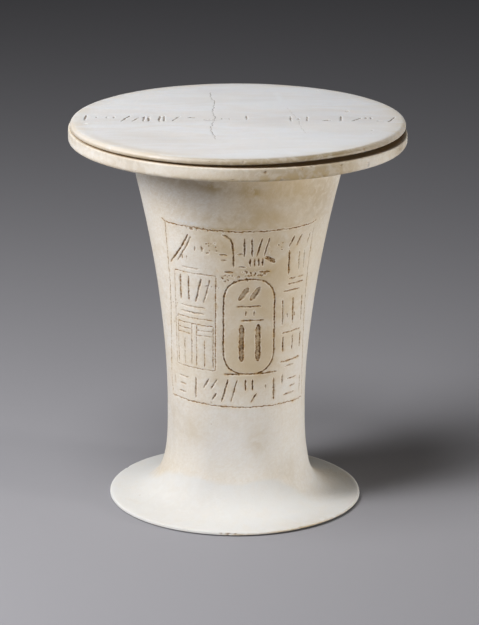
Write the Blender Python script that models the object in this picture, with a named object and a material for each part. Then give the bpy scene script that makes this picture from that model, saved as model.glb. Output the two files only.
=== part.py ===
"""Lidded ointment jar, turned and ground from banded travertine.

The jar is one hollow piece: a thin splayed foot, a concave body that flares to the neck, and a
wide flat rim. A flat disc lid lies on the rim, and a low boss under it keeps it from sliding off.
A framed panel on the body holds an oval ring, a panelled facade and rows of short cut strokes.
All sizes are in metres, +Z is up, and the front of the panel looks along -Y.
"""

import math

import bmesh
import bpy

# Foot, body and rim, as heights above the underside and as radii
FOOT_RADIUS = 0.0474
FOOT_EDGE = 0.0016
FOOT_SLOPE = 0.05
FOOT_HOLLOWING = 3.6
WAIST_RADIUS = 0.02566
WAIST_HEIGHT = 0.0364
NECK_RADIUS = 0.0409
FLARE_POWER = 1.78
RIM_RADIUS = 0.0624
RIM_UNDERSIDE = 0.1375
RIM_THICKNESS = 0.00525
RIM_LOWER_ROUND = 0.0013
RIM_UPPER_ROUND = 0.0006
NECK_FILLET = 0.0012

# The drilled hollow follows the body at this wall
WALL = 0.0080
FLOOR_THICKNESS = 0.0160
FLOOR_ROUND = 0.0060
MOUTH_ROUND = 0.0008

# Lid: a disc, set back a little from the rim's edge, with a boss that drops into the mouth
LID_SET_BACK = 0.0007
LID_THICKNESS = 0.00215
LID_UPPER_ROUND = 0.0010
LID_LOWER_ROUND = 0.0005
BOSS_DEPTH = 0.0025
BOSS_ROUND = 0.0006
BOSS_CLEARANCE = 0.0014
LID_LEAN = (math.radians(-0.20), math.radians(-0.42))
RESTING_GAP = 0.0003

# Carving: depths, line widths and the frame of the panel, measured along the surface
STROKE_WIDTH = 0.0008
STROKE_DEPTH = 0.0005
FRAME_WIDTH = 0.0006
RING_WIDTH = 0.0010
BROAD_WIDTH = 0.0020
GROOVE_FLOOR = 0.5
PANEL_WIDTH = 0.0615
PANEL_SHIFT = 0.0008
PANEL_ABOVE_WAIST = 0.0061
PANEL_BELOW_RIM = 0.0250
LID_ROW_MARGIN = 0.0047
LID_ROW_HEIGHT = 0.0070
LID_ROW_FORWARD = 0.0050

# Fineness of the turned surfaces and of the cutters
SEGMENTS = 60
FOOT_STEPS = 8
FLARE_STEPS = 9
BORE_STEPS = 5
ROUND_STEPS = 2
RING_STEPS = 28
SPAN_ACROSS = 0.0040
SPAN_UP = 0.0120
CUTTER_RISE = 0.0010

TOP_OF_RIM = RIM_UNDERSIDE + RIM_THICKNESS
MOUTH_RADIUS = NECK_RADIUS - WALL
LID_RADIUS = RIM_RADIUS - LID_SET_BACK
LID_ROW_SPAN = 2 * (LID_RADIUS - LID_ROW_MARGIN)
PANEL_BOTTOM = WAIST_HEIGHT + PANEL_ABOVE_WAIST
PANEL_HEIGHT = RIM_UNDERSIDE - PANEL_BELOW_RIM - PANEL_BOTTOM

# One cut of each kind, in a cell one wide and one high
SHAPES = {
    "upright": ((0.0, 0.0), (0.0, 1.0)),
    "lean": ((-0.35, 0.0), (0.35, 1.0)),
    "back": ((0.35, 0.0), (-0.35, 1.0)),
    "tick": ((0.0, 0.35), (0.0, 0.65)),
    "bar": ((-0.4, 0.0), (0.4, 0.0)),
    "bow": ((-0.42, 0.0), (-0.3, 0.5), (0.0, 0.88), (0.42, 1.0)),
    "hook": ((0.42, 0.0), (0.3, 0.5), (0.0, 0.88), (-0.42, 1.0)),
}

# Rows of strokes on the panel: left, right, foot and height in hundredths of the panel, then cuts
PANEL_ROWS = (
    (5, 21, 79, 17, "bow lean"),
    (20, 30, 82, 11, "tick tick"),
    (11, 28, 76.5, 0, "bar"),
    (37, 50, 79, 17, "hook tick"),
    (50, 71, 87, 10, "back upright lean"),
    (54, 68, 79.5, 5, "upright upright upright upright"),
    (40, 47, 76, 0, "bar"),
    (60, 67, 76, 0, "bar"),
    (79, 97, 74, 13, "upright lean upright"),
    (80, 97, 90, 6, "hook bow"),
    (79, 96, 70, 0, "bar"),
    (77, 94, 65, 0, "bar"),
    (76, 96, 40, 19, "upright upright upright"),
    (77, 95, 62, 0, "bar"),
    (77, 95, 37, 0, "bar"),
    (77, 95, 25.5, 9, "upright upright upright"),
    (76, 95, 22, 0, "bar"),
    (3, 97, 3, 12, "bow tick upright hook tick upright lean lean tick upright bow tick upright hook"),
    (10, 34, 57.5, 13, "upright upright tick lean lean"),
    (10, 33, 54.5, 0, "bar"),
    (10, 33, 51.5, 0, "bar"),
    (47, 66, 49.5, 4, "lean tick lean"),
    (44, 69, 46, 0, "bar"),
)
BROAD_ROWS = (
    (48, 64, 60.5, 5, "lean lean"),
    (46, 68, 25, 17, "upright upright"),
)
LID_ROW = "upright tick bow upright upright tick hook bar tick upright tick lean upright tick bow hook"

RING_CENTRE = (56.7, 45.5)
RING_HALF = (15.6, 26.9)
RING_BASE = (41.5, 75.0, 17.2)
FACADE = (7.3, 36.3, 20.0, 74.0)
FACADE_BANDS = (48.3, 45.0)
FACADE_NICHES = 6
FACADE_NICHE_TOP = 41.5
LINE_GAP = 1.2


def clear_scene():
    for old in list(bpy.data.objects):
        bpy.data.objects.remove(old, do_unlink=True)


def stone(name, colour):
    """Polished travertine, the same all over."""
    material = bpy.data.materials.new(name)
    material.use_nodes = True
    shader = material.node_tree.nodes["Principled BSDF"]
    shader.inputs["Base Color"].default_value = (*colour, 1.0)
    shader.inputs["Roughness"].default_value = 0.45
    shader.inputs["Metallic"].default_value = 0.0
    return material


def arc(centre, radius, start, end):
    """Points of a round edge, from one angle to the other in degrees."""
    points = []
    for i in range(ROUND_STEPS + 1):
        angle = math.radians(start + (end - start) * i / ROUND_STEPS)
        points.append((centre[0] + radius * math.cos(angle), centre[1] + radius * math.sin(angle)))
    return points


def foot_point(turn):
    """The concave sweep from the foot's edge, at turn 0, up to the waist, at turn 1."""
    angle = 0.5 * math.pi * turn
    inward = math.sin(angle) ** (2 / FOOT_HOLLOWING)
    down = math.cos(angle) ** (2 / FOOT_HOLLOWING)
    radius = FOOT_RADIUS - (FOOT_RADIUS - WAIST_RADIUS) * inward
    height = WAIST_HEIGHT - (WAIST_HEIGHT - FOOT_EDGE) * down
    return radius, height + FOOT_SLOPE * (FOOT_RADIUS - radius) * down


def body_radius(height):
    """Outer radius of the body from the waist up."""
    share = max(0.0, height - WAIST_HEIGHT) / (RIM_UNDERSIDE - WAIST_HEIGHT)
    return WAIST_RADIUS + (NECK_RADIUS - WAIST_RADIUS) * share**FLARE_POWER


def jar_outline():
    """The jar's half section, from the middle of the underside round to the middle of the floor."""
    edge = 0.5 * FOOT_EDGE
    points = [(0.0, 0.0)]
    points += arc((FOOT_RADIUS - edge, edge), edge, -90, 60)
    for i in range(1, FOOT_STEPS + 1):
        # The sweep starts flat, so its first points lie close to the edge and are spread out
        points.append(foot_point((i / FOOT_STEPS) ** 1.6))
    for i in range(1, FLARE_STEPS):
        height = WAIST_HEIGHT + (RIM_UNDERSIDE - NECK_FILLET - WAIST_HEIGHT) * i / FLARE_STEPS
        points.append((body_radius(height), height))
    neck = body_radius(RIM_UNDERSIDE - NECK_FILLET)
    points += arc((neck + NECK_FILLET, RIM_UNDERSIDE - NECK_FILLET), NECK_FILLET, 180, 90)
    low = RIM_LOWER_ROUND
    high = RIM_UPPER_ROUND
    points += arc((RIM_RADIUS - low, RIM_UNDERSIDE + low), low, -90, 0)
    points += arc((RIM_RADIUS - high, TOP_OF_RIM - high), high, 0, 90)
    points += arc((MOUTH_RADIUS + MOUTH_ROUND, TOP_OF_RIM - MOUTH_ROUND), MOUTH_ROUND, 90, 180)
    for i in range(BORE_STEPS):
        height = RIM_UNDERSIDE + (WAIST_HEIGHT - RIM_UNDERSIDE) * i / BORE_STEPS
        points.append((body_radius(height) - WALL, height))
    bore = WAIST_RADIUS - WALL
    points.append((bore, WAIST_HEIGHT))
    points += arc((bore - FLOOR_ROUND, FLOOR_THICKNESS + FLOOR_ROUND), FLOOR_ROUND, 0, -90)
    points.append((0.0, FLOOR_THICKNESS))
    return points


def lid_outline():
    """The lid's half section about its own middle, with its underside at height 0."""
    boss = MOUTH_RADIUS - BOSS_CLEARANCE
    low = min(LID_LOWER_ROUND, 0.3 * LID_THICKNESS)
    high = min(LID_UPPER_ROUND, 0.6 * LID_THICKNESS)
    points = [(0.0, -BOSS_DEPTH)]
    points += arc((boss - BOSS_ROUND, -BOSS_DEPTH + BOSS_ROUND), BOSS_ROUND, -90, 0)
    points.append((boss, 0.0))
    points += arc((LID_RADIUS - low, low), low, -90, 0)
    points += arc((LID_RADIUS - high, LID_THICKNESS - high), high, 0, 90)
    points.append((0.0, LID_THICKNESS))
    return points


def turned(name, outline):
    """A closed solid turned about Z from a half section whose ends lie on the axis."""
    mesh = bmesh.new()
    rings = []
    for radius, height in outline:
        if radius == 0.0:
            rings.append([mesh.verts.new((0.0, 0.0, height))])
            continue
        ring = []
        for i in range(SEGMENTS):
            angle = 2 * math.pi * i / SEGMENTS
            ring.append(mesh.verts.new((radius * math.cos(angle), radius * math.sin(angle), height)))
        rings.append(ring)
    for lower, upper in zip(rings, rings[1:]):
        for i in range(SEGMENTS):
            j = (i + 1) % SEGMENTS
            if len(lower) == 1:
                mesh.faces.new((lower[0], upper[j], upper[i]))
            elif len(upper) == 1:
                mesh.faces.new((lower[i], lower[j], upper[0]))
            else:
                mesh.faces.new((lower[i], lower[j], upper[j], upper[i]))
    return as_object(name, mesh)


def as_object(name, mesh):
    data = bpy.data.meshes.new(name)
    bmesh.ops.recalc_face_normals(mesh, faces=mesh.faces)
    mesh.to_mesh(data)
    mesh.free()
    made = bpy.data.objects.new(name, data)
    bpy.context.scene.collection.objects.link(made)
    return made


def on_body(across, up, out):
    """A point on the body, by its arc from the panel's middle line and its height."""
    radius = body_radius(up)
    angle = across / radius
    return (radius + out) * math.sin(angle), -(radius + out) * math.cos(angle), up


def on_lid(across, up, out):
    """A point on the lid's top, in the lid's own frame."""
    return across, up, LID_THICKNESS + out


def finely(path, closed):
    """The path with points added, so that a cutter on it keeps to the curved surface."""
    points = []
    ends = list(zip(path, path[1:] + path[:1])) if closed else list(zip(path, path[1:]))
    for (x0, y0), (x1, y1) in ends:
        steps = math.ceil(max(abs(x1 - x0) / SPAN_ACROSS, abs(y1 - y0) / SPAN_UP, 1.0))
        points += [(x0 + (x1 - x0) * i / steps, y0 + (y1 - y0) * i / steps) for i in range(steps)]
    if not closed:
        points.append(path[-1])
    return points


def sideways(points, closed):
    """For each point of a path, the mitred step to its left, for a line of half width 1."""
    steps = []
    count = len(points)
    for i, (x, y) in enumerate(points):
        before = points[i - 1] if i > 0 or closed else None
        after = points[(i + 1) % count] if i < count - 1 or closed else None
        ways = []
        if before:
            ways.append((x - before[0], y - before[1]))
        if after:
            ways.append((after[0] - x, after[1] - y))
        normals = [(-dy / math.hypot(dx, dy), dx / math.hypot(dx, dy)) for dx, dy in ways]
        nx = sum(n[0] for n in normals) / len(normals)
        ny = sum(n[1] for n in normals) / len(normals)
        square = nx * nx + ny * ny
        steps.append((nx / square, ny / square))
    return steps


def add_cutter(mesh, place, path, width, closed=False):
    """Adds the closed shape that cuts one line: wide above the surface, narrower at its floor."""
    points = finely(path, closed)
    rings = []
    for (x, y), (nx, ny) in zip(points, sideways(points, closed)):
        ring = []
        for side, share, out in (
            (1, 1.0, CUTTER_RISE),
            (-1, 1.0, CUTTER_RISE),
            (-1, GROOVE_FLOOR, -STROKE_DEPTH),
            (1, GROOVE_FLOOR, -STROKE_DEPTH),
        ):
            reach = 0.5 * width * side * share
            ring.append(mesh.verts.new(place(x + nx * reach, y + ny * reach, out)))
        rings.append(ring)
    pairs = list(zip(rings, rings[1:] + rings[:1])) if closed else list(zip(rings, rings[1:]))
    for first, second in pairs:
        for i in range(4):
            j = (i + 1) % 4
            mesh.faces.new((first[i], first[j], second[j], second[i]))
    if not closed:
        mesh.faces.new(rings[0][::-1])
        mesh.faces.new(rings[-1])


def row_paths(row, left, bottom, width, height):
    """The paths of one row of cuts, each in its own cell of the row."""
    from_x, to_x, foot, rise, words = row
    cuts = words.split()
    cell = (to_x - from_x) / len(cuts)
    paths = []
    for i, word in enumerate(cuts):
        middle = from_x + cell * (i + 0.5)
        path = []
        for x, y in SHAPES[word]:
            across = left + width * (middle + x * cell) / 100
            path.append((across, bottom + height * (foot + y * rise) / 100))
        paths.append(path)
    return paths


def on_panel(across, up):
    """A place given in hundredths of the panel, as arc and height on the body."""
    return (
        PANEL_SHIFT + PANEL_WIDTH * (across / 100 - 0.5),
        PANEL_BOTTOM + PANEL_HEIGHT * up / 100,
    )


def frame_path(left, right, bottom, top):
    return [on_panel(left, bottom), on_panel(right, bottom), on_panel(right, top), on_panel(left, top)]


def ring_path():
    """The oval ring: two straight sides joined by half circles."""
    half_width = PANEL_WIDTH * RING_HALF[0] / 100
    half_height = PANEL_HEIGHT * RING_HALF[1] / 100
    straight = half_height - half_width
    middle_x, middle_y = on_panel(*RING_CENTRE)
    points = []
    for i in range(RING_STEPS):
        angle = 2 * math.pi * (i + 0.5) / RING_STEPS
        lift = straight if math.sin(angle) > 0 else -straight
        across = middle_x + half_width * math.cos(angle)
        points.append((across, middle_y + lift + half_width * math.sin(angle)))
    return points


def facade_paths():
    """The panelled facade inside its frame: two bands, and niches under them."""
    left, right, bottom, _ = FACADE
    paths = [[on_panel(left + LINE_GAP, band), on_panel(right - LINE_GAP, band)] for band in FACADE_BANDS]
    pitch = (right - left) / FACADE_NICHES
    for i in range(1, FACADE_NICHES):
        x = left + pitch * i
        paths.append([on_panel(x, bottom + LINE_GAP), on_panel(x, FACADE_NICHE_TOP)])
    return paths


def panel_cutter():
    """All cuts on the body, as one guide object of separate closed shapes."""
    mesh = bmesh.new()
    left, bottom = on_panel(0, 0)
    for row in PANEL_ROWS:
        for path in row_paths(row, left, bottom, PANEL_WIDTH, PANEL_HEIGHT):
            add_cutter(mesh, on_body, path, STROKE_WIDTH)
    for row in BROAD_ROWS:
        for path in row_paths(row, left, bottom, PANEL_WIDTH, PANEL_HEIGHT):
            add_cutter(mesh, on_body, path, BROAD_WIDTH)
    for path in facade_paths():
        add_cutter(mesh, on_body, path, FRAME_WIDTH)
    add_cutter(mesh, on_body, frame_path(*FACADE), FRAME_WIDTH, closed=True)
    add_cutter(mesh, on_body, frame_path(0, 100, 0, 100), FRAME_WIDTH, closed=True)
    add_cutter(mesh, on_body, ring_path(), RING_WIDTH, closed=True)
    base_left, base_right, base = RING_BASE
    add_cutter(mesh, on_body, [on_panel(base_left, base), on_panel(base_right, base)], RING_WIDTH)
    return as_object("panel_cutter", mesh)


def lid_cutter():
    mesh = bmesh.new()
    row = (0, 100, 0, 100, LID_ROW)
    low = -LID_ROW_FORWARD
    for path in row_paths(row, -0.5 * LID_ROW_SPAN, low, LID_ROW_SPAN, LID_ROW_HEIGHT):
        add_cutter(mesh, on_lid, path, STROKE_WIDTH)
    return as_object("lid_cutter", mesh)


def carve(target, cutter):
    cutter.hide_render = True
    cutter.display_type = "WIRE"
    cut = target.modifiers.new("carving", "BOOLEAN")
    cut.operation = "DIFFERENCE"
    cut.solver = "EXACT"
    cut.object = cutter


def finish(target, material):
    target.data.materials.append(material)
    target.data.shade_smooth()
    target.data.set_sharp_from_angle(angle=math.radians(35))


def make_jar():
    jar = turned("jar", jar_outline())
    finish(jar, stone("jar_travertine", (0.80, 0.75, 0.66)))
    carve(jar, panel_cutter())
    return jar


def make_lid():
    """The lid, leaning a little as it lies, with its lowest edge the resting gap above the rim."""
    lid = turned("lid", lid_outline())
    finish(lid, stone("lid_travertine", (0.80, 0.78, 0.74)))
    cutter = lid_cutter()
    cutter.parent = lid
    carve(lid, cutter)
    lid.rotation_euler = (*LID_LEAN, 0.0)
    drop = LID_RADIUS * math.sin(math.hypot(*LID_LEAN))
    lid.location = (0.0, 0.0, TOP_OF_RIM + RESTING_GAP + drop)
    return lid


clear_scene()
make_jar()
make_lid()
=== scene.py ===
"""Lidded ointment jar of banded travertine: the carved, stained and worn surface of its two pieces.

All lengths are in metres, +Z is up and the carved panel looks along -Y.
"""

import math

import bmesh
import bpy
import numpy as np
from mathutils import Euler, Matrix, Vector, kdtree, noise


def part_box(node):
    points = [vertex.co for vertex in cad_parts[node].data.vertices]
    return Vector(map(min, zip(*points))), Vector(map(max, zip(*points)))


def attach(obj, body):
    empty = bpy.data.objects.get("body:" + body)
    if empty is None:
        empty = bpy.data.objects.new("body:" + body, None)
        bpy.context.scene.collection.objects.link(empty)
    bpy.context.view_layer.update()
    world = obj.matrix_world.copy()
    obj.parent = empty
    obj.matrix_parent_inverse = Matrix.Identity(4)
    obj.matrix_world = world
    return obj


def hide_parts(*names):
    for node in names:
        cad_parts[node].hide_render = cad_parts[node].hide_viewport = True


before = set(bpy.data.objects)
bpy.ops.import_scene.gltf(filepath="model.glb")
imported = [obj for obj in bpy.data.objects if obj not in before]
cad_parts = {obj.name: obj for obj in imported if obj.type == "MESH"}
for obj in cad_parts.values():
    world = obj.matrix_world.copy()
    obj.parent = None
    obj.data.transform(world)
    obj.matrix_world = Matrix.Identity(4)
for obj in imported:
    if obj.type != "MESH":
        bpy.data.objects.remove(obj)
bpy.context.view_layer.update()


# Jar
# One block of banded travertine, drilled hollow and turned to a splayed foot, a concave body and a
# wide flat rim, then rubbed smooth. Its panel is scratched and pecked by hand, and holds old dirt.
jar_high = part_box("jar")[1]
RIM_RADIUS = jar_high.x
TOP_OF_RIM = jar_high.z
RIM_THICKNESS = 0.00525
RIM_UNDERSIDE = TOP_OF_RIM - RIM_THICKNESS
RIM_LOWER_ROUND = 0.0014
RIM_UPPER_ROUND = 0.0005
NECK_RADIUS = 0.0409
NECK_FILLET = 0.0012
WAIST_RADIUS = 0.02566
WAIST_HEIGHT = 0.0364
FLARE_POWER = 1.78
FOOT_RADIUS = 0.0475
FOOT_EDGE = 0.0016
FOOT_EDGE_ROUND = 0.4 * FOOT_EDGE
UNDERCUT_WIDTH = 0.0056
UNDERCUT_HEIGHT = 0.00040
UNDERCUT_ROUND = 0.00018
FOOT_SLOPE = 0.05
FOOT_HOLLOWING = 3.6
WALL = 0.0080
FLOOR_THICKNESS = 0.0160
FLOOR_ROUND = 0.0060
MOUTH_ROUND = 0.0008
MOUTH_RADIUS = NECK_RADIUS - WALL

# The rim's top is worn down towards its right side: depth, and the middle and spread of the wear
RIM_WEAR = 0.00145
RIM_WEAR_AT = math.radians(88)
RIM_WEAR_SPREAD = math.radians(38)
RIM_WEAR_HEIGHTS = (RIM_UNDERSIDE + 0.0005, TOP_OF_RIM - 0.0003)
RIM_WEAR_RADII = (0.038, 0.056)

# The foot's underside is worn away most towards its right front: depth, and middle and spread
FOOT_WEAR = 0.00042
FOOT_WEAR_AT = math.radians(44)
FOOT_WEAR_SPREAD = math.radians(34)
FOOT_WEAR_HEIGHTS = (0.0005, FOOT_EDGE)
FOOT_WEAR_RADII = (FOOT_RADIUS - UNDERCUT_WIDTH, FOOT_RADIUS - 0.001)

# The jar isn't quite round: height, and how far its right side stands out there
RIGHT_SWELL = (
    (0.0070, 0.0), (0.0160, 0.00085), (0.0220, 0.00075), (0.0360, 0.00055), (0.0535, 0.00032),
    (0.0700, 0.00050), (0.0900, 0.00038), (0.1250, 0.00040), (0.1395, 0.0),
)

# The panel's frame, measured along the surface
PANEL_WIDTH = 0.0615
PANEL_SHIFT = 0.0008
PANEL_BOTTOM = WAIST_HEIGHT + 0.0061
PANEL_TOP = RIM_UNDERSIDE - 0.0250
PANEL_HEIGHT = PANEL_TOP - PANEL_BOTTOM
PANEL_MARGIN = 0.0022

# Fineness of the turned surface, and how near a cut or a chip it is split, how many times
COLUMN_STEP = 0.0010
BACK_COLUMNS = 84
ROW_STEP = 0.0010
FOOT_STEPS = 44
FOOT_CROWDING = 1.6
BORE_STEPS = 26
FINE_REACH = 0.0009
FINE_TIMES = 2

# The surface's map: its margin, where the front ends across it, and how much each run gets up it
MAP_MARGIN = 0.005
MAP_FRONT = 0.665
MAP_WEIGHTS = {
    "underside": 0.25, "foot edge": 1.0, "foot": 0.9, "body": 1.7, "neck": 1.0, "rim underside": 0.7,
    "rim edge": 1.3, "rim top": 0.6, "mouth": 0.5, "bore": 0.15, "floor": 0.2,
}

# The outside of the body is what lies less than this under it, and the rim what stands out further
BODY_SKIN = 0.3 * WALL
RIM_STANDS_OUT = 0.010

# Cuts: half widths and depths of the strokes, the frame's lines and the oval ring
PANEL_SEED = 41
TOUCH_STEP = 0.00014
BEND_STEPS = 8
LEAST_LENGTH = 1e-12
STROKE_HALF = 0.00042
STROKE_DEPTH = 0.00050
FRAME_HALF = 0.00027
FRAME_DEPTH = 0.00028
FRAME_DIRT = (0.75, 0.42, 0.90, 0.55)
RING_HALF_LINE = 0.00037
RING_DEPTH = 0.00050
RING_DIRT = 0.9
BROAD_HALF = 0.00105
BROAD_RAGGED = 0.16
OUTLINE_HALF = 1.1 * FRAME_HALF
OUTLINE_WANDER = 0.00025
CUT_SLOPE = 0.00030
FAR_OUTSIDE = -0.002

# The point goes in and comes out at a slant: its length, at most and in half widths, and the shares
# of its width and depth that a cut has at its very ends
CUT_SLANT = 0.0009
SLANT_WIDTHS = 2.2
END_WIDTH = 0.6
END_DEPTH = 0.5

# A hand-held point wanders: how far, how much its width, depth and dirt change, and over what lengths
HAND_WANDER = 0.00016
HAND_RAGGED = 0.34
LEAST_WAVE = 0.6
MIDDLE_DEPTH, DEPTH_SWING = 0.85, 0.30
MIDDLE_DIRT, DIRT_SWING, LEAST_DIRT = 0.80, 0.75, 0.05
WANDER_LENGTHS = (0.011, 0.0047, 0.0021)
WIDTH_LENGTHS = (0.006, 0.0023, 0.0010)
DEPTH_LENGTHS = (0.008, 0.0031)
DIRT_LENGTHS = (0.013, 0.0037, 0.0013)

# How much strokes differ from each other, how wide one without dirt is, and the size, depth and dirt
# of the pecks. A pair holds the lowest and the highest value
STROKE_DIRT_RANGE = (0.85, 1.1)
STROKE_WIDTH_RANGE = (0.75, 1.15)
CLEAN_STROKE_WIDTH = 0.75
FACADE_LINE_DIRT = (0.40, 0.75)
PECK_SIZES = (0.00018, 0.00045)
PECK_DEPTH = 0.7
PECK_DIRT = (0.2, 0.8)

# One cut of each kind, in a cell one wide and one high
SHAPES = {
    "upright": ((0.0, 0.0), (0.0, 1.0)),
    "lean": ((-0.35, 0.0), (0.35, 1.0)),
    "tick": ((0.0, 0.35), (0.0, 0.65)),
    "bar": ((-0.4, 0.0), (0.4, 0.0)),
    "dab": ((-0.4, 0.5), (0.4, -0.5)),
    "bow": ((-0.5, 0.0), (-0.2, 0.30), (0.12, 0.66), (0.34, 1.0)),
    "hook": ((0.4, 0.0), (0.4, 0.5), (0.2, 0.85), (-0.4, 1.0)),
}

# Rows of strokes on the panel: left, right, foot and height in hundredths of the panel, dirt, cuts
PANEL_ROWS = (
    (4, 21, 77.5, 18.5, 0.75, "bow"),
    (10, 22, 79.5, 15.5, 0.45, "bow"),
    (12, 19, 78.6, 8, 0.55, "tick tick"),
    (20.5, 30, 84.5, 8, 0.70, "tick tick"),
    (12, 27, 76.8, 0, 0.25, "bar"),
    (39.5, 47.5, 79.5, 18, 0.80, "hook"),
    (38, 43.5, 86.2, 0, 0.90, "bar"),
    (48.5, 53, 86.8, 0, 0.40, "bar"),
    (39.0, 43.0, 83.2, 0, 0.45, "bar"),
    (51, 69, 85.5, 10, 0.80, "upright upright lean lean"),
    (55.5, 65.5, 80.0, 4, 0.85, "upright upright upright upright"),
    (49.5, 54.5, 79.6, 0, 0.80, "bar"),
    (41, 47, 76.6, 0, 1.00, "bar"),
    (62, 69.5, 76.4, 0, 1.00, "bar"),
    (65.5, 72.5, 83.9, 2.4, 1.00, "dab"),
    (65, 73, 83.0, 2.6, 1.00, "dab"),
    (66.5, 72.5, 82.2, 2.0, 1.00, "dab"),
    (80.5, 92, 89.0, 6, 0.65, "lean lean"),
    (95, 99, 88.5, 6, 0.40, "lean"),
    (79.5, 84, 73, 14, 1.00, "upright"),
    (87.5, 96, 74.5, 11, 0.55, "upright upright"),
    (82, 94.5, 70.4, 0, 0.60, "bar bar"),
    (79.5, 96, 67.4, 0, 0.70, "bar"),
    (77, 93, 63.6, 0, 0.80, "bar"),
    (74, 98, 44.5, 14.5, 0.75, "upright upright upright"),
    (78.5, 90.5, 45.5, 8, 0.90, "tick tick"),
    (76, 95.5, 39.8, 0, 0.60, "bar"),
    (75, 98, 29, 8.5, 0.80, "upright upright upright"),
    (75, 97, 23.2, 0, 0.80, "bar"),
    (80, 90, 20.2, 0, 0.35, "bar"),
    (3, 6.5, 7.5, 4.5, 0.35, "upright"),
    (8, 19, 13.6, 0, 0.40, "bar"),
    (10, 16, 9.4, 0, 0.50, "bar"),
    (8.5, 16, 4.8, 0, 0.35, "bar"),
    (20.5, 26, 3.2, 11.5, 0.50, "upright"),
    (28, 38, 9.6, 5.6, 0.45, "lean lean"),
    (33.5, 38, 3.4, 4.2, 0.55, "lean"),
    (39.5, 50.5, 3.0, 12.5, 0.70, "lean lean"),
    (52.5, 61, 9.4, 6, 0.85, "upright upright"),
    (57.5, 62, 2.8, 4.6, 0.95, "lean"),
    (65.5, 69, 7.0, 8.0, 0.70, "tick"),
    (70.5, 75, 3, 12, 0.80, "upright"),
    (77, 81, 10.8, 5.2, 0.55, "upright"),
    (82, 93, 12.6, 0, 0.55, "bar"),
    (85, 91, 8.2, 0, 0.60, "bar"),
    (79, 91, 4.2, 0, 0.60, "bar"),
    (94.5, 98.5, 3, 8.5, 0.65, "upright"),
    (9, 21.5, 58, 14, 0.90, "upright upright"),
    (22.5, 33.5, 58, 13.5, 0.60, "lean lean"),
    (10, 32, 54.8, 0, 0.35, "bar"),
    (10, 31, 51.3, 0, 0.30, "bar"),
    (47, 65.5, 57.0, 0, 0.80, "bar"),
    (52, 62, 49.0, 8.5, 0.85, "tick tick"),
    (50, 67, 49.0, 0, 0.85, "bar"),
)

# Broad strokes inside the ring, in the same way
BROAD_ROWS = (
    (49.5, 63.5, 61.2, 6, 0.70, "lean lean"),
    (47, 67, 26.5, 19.5, 1.00, "upright upright"),
)

# The oval ring, and the line that it stands on: left, right and height
RING_CENTRE = (56.7, 45.5)
RING_HALF = (15.6, 26.9)
RING_BASE = (41.5, 75.0, 18.6)
RING_BEND = 0.80
RING_POINTS = 96
RING_EASE = (0.0006, 0.0002)

# The facade: its frame's left, right, foot and top, the dirt in its four sides, and what it holds
FACADE = (7.3, 36.3, 20.0, 74.0)
FACADE_DIRT = (0.50, 0.90, 0.60, 0.40)
FACADE_BANDS = (48.3, 45.0)
FACADE_NICHES = ((0.07, 0.45), (0.57, 0.95))
FACADE_LINTELS = (41.8, 39.0)
LINE_GAP = 1.2

# The panel's outer lines: lower, right, upper and left. The upper one rises past its corners
FRAME_LINES = (
    ((1.2, 0.4), (19.0, 0.8), (48.0, 0.1), (78.0, -0.4), (99.6, -1.4)),
    ((101.0, -0.8), (100.4, 13.0), (98.0, 40.0), (97.8, 62.0), (99.2, 81.0), (101.4, 97.0)),
    ((-2.6, 102.2), (1.4, 100.3), (20.0, 100.4), (39.0, 99.6), (77.0, 99.5), (97.7, 99.8), (103.2, 101.2)),
    ((0.2, 100.6), (1.4, 80.0), (2.4, 60.0), (1.4, 38.0), (-0.2, 14.0), (1.0, 1.0)),
)

# Patches left rough by the point, in the same hundredths: left, right, foot, top, number of pecks
PECKED = (
    (38, 57, 71.0, 75.0, 34),
    (52, 66, 73.5, 77.5, 26),
    (17, 41, 98.6, 100.4, 30),
    (26, 38, 86, 93, 14),
    (68, 78, 86, 92, 8),
    (4, 10, 40, 60, 8),
    (30, 44, 66, 78, 12),
)

# Stains, some of them painted shade and glow: degrees round from the front, height, half width, half
# height, strength
STAINS_AND_SHADE = (
    (10, 0.1272, 0.0014, 0.0012, 0.75),
    (-14, 0.1292, 0.0016, 0.0014, 0.60),
    (-36, 0.1205, 0.0110, 0.0050, 0.20),
    (0, 0.1040, 0.0090, 0.0070, 0.26),
    (4, 0.0640, 0.0120, 0.0090, 0.12),
    # Painted warm glow in the rim's shadow on the neck, at the left
    (-34, 0.1310, 0.0200, 0.0030, 0.26),
    (-10, 0.1165, 0.0090, 0.0022, 0.40),
    (8, 0.1278, 0.0040, 0.0022, 0.85),
    (-14, 0.1294, 0.0060, 0.0022, 0.55),
    (0, 0.1300, 0.0200, 0.0040, 0.30),
    (29, 0.1255, 0.0080, 0.0050, 0.28),
    (50, 0.1240, 0.0120, 0.0090, 0.40),
    # Painted warm glow in the rim's shadow on the neck, at the left
    (-38, 0.1310, 0.0120, 0.0030, 0.20),
    (-3, 0.1130, 0.0160, 0.0011, 0.70),
    (12, 0.1190, 0.0100, 0.0060, 0.35),
    (-12, 0.1060, 0.0040, 0.0030, 0.45),
    (-20, 0.1090, 0.0050, 0.0030, 0.25),
    (10, 0.0955, 0.0100, 0.0026, 0.55),
    (30, 0.1060, 0.0060, 0.0040, 0.35),
    (52, 0.0760, 0.0070, 0.0200, 0.20),
    (72, 0.0120, 0.0060, 0.0030, 0.15),
    # Painted contact shade and glow along the foot's lower edge, at the front and right
    (22, 0.0006, 0.0090, 0.0007, 0.70),
    (38, 0.0007, 0.0110, 0.0008, 0.85),
    (2, 0.0006, 0.0060, 0.0006, 0.55),
    (62, 0.0006, 0.0120, 0.0006, 0.50),
    (-45, 0.0660, 0.0030, 0.0130, 0.15),
    (-36, 0.0318, 0.0060, 0.0050, 0.30),
    (19, 0.0285, 0.0040, 0.0050, 0.35),
    (150, 0.1180, 0.0200, 0.0080, 0.45),
    (-140, 0.0700, 0.0080, 0.0180, 0.35),
    (178, 0.0300, 0.0100, 0.0080, 0.30),
)
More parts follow.
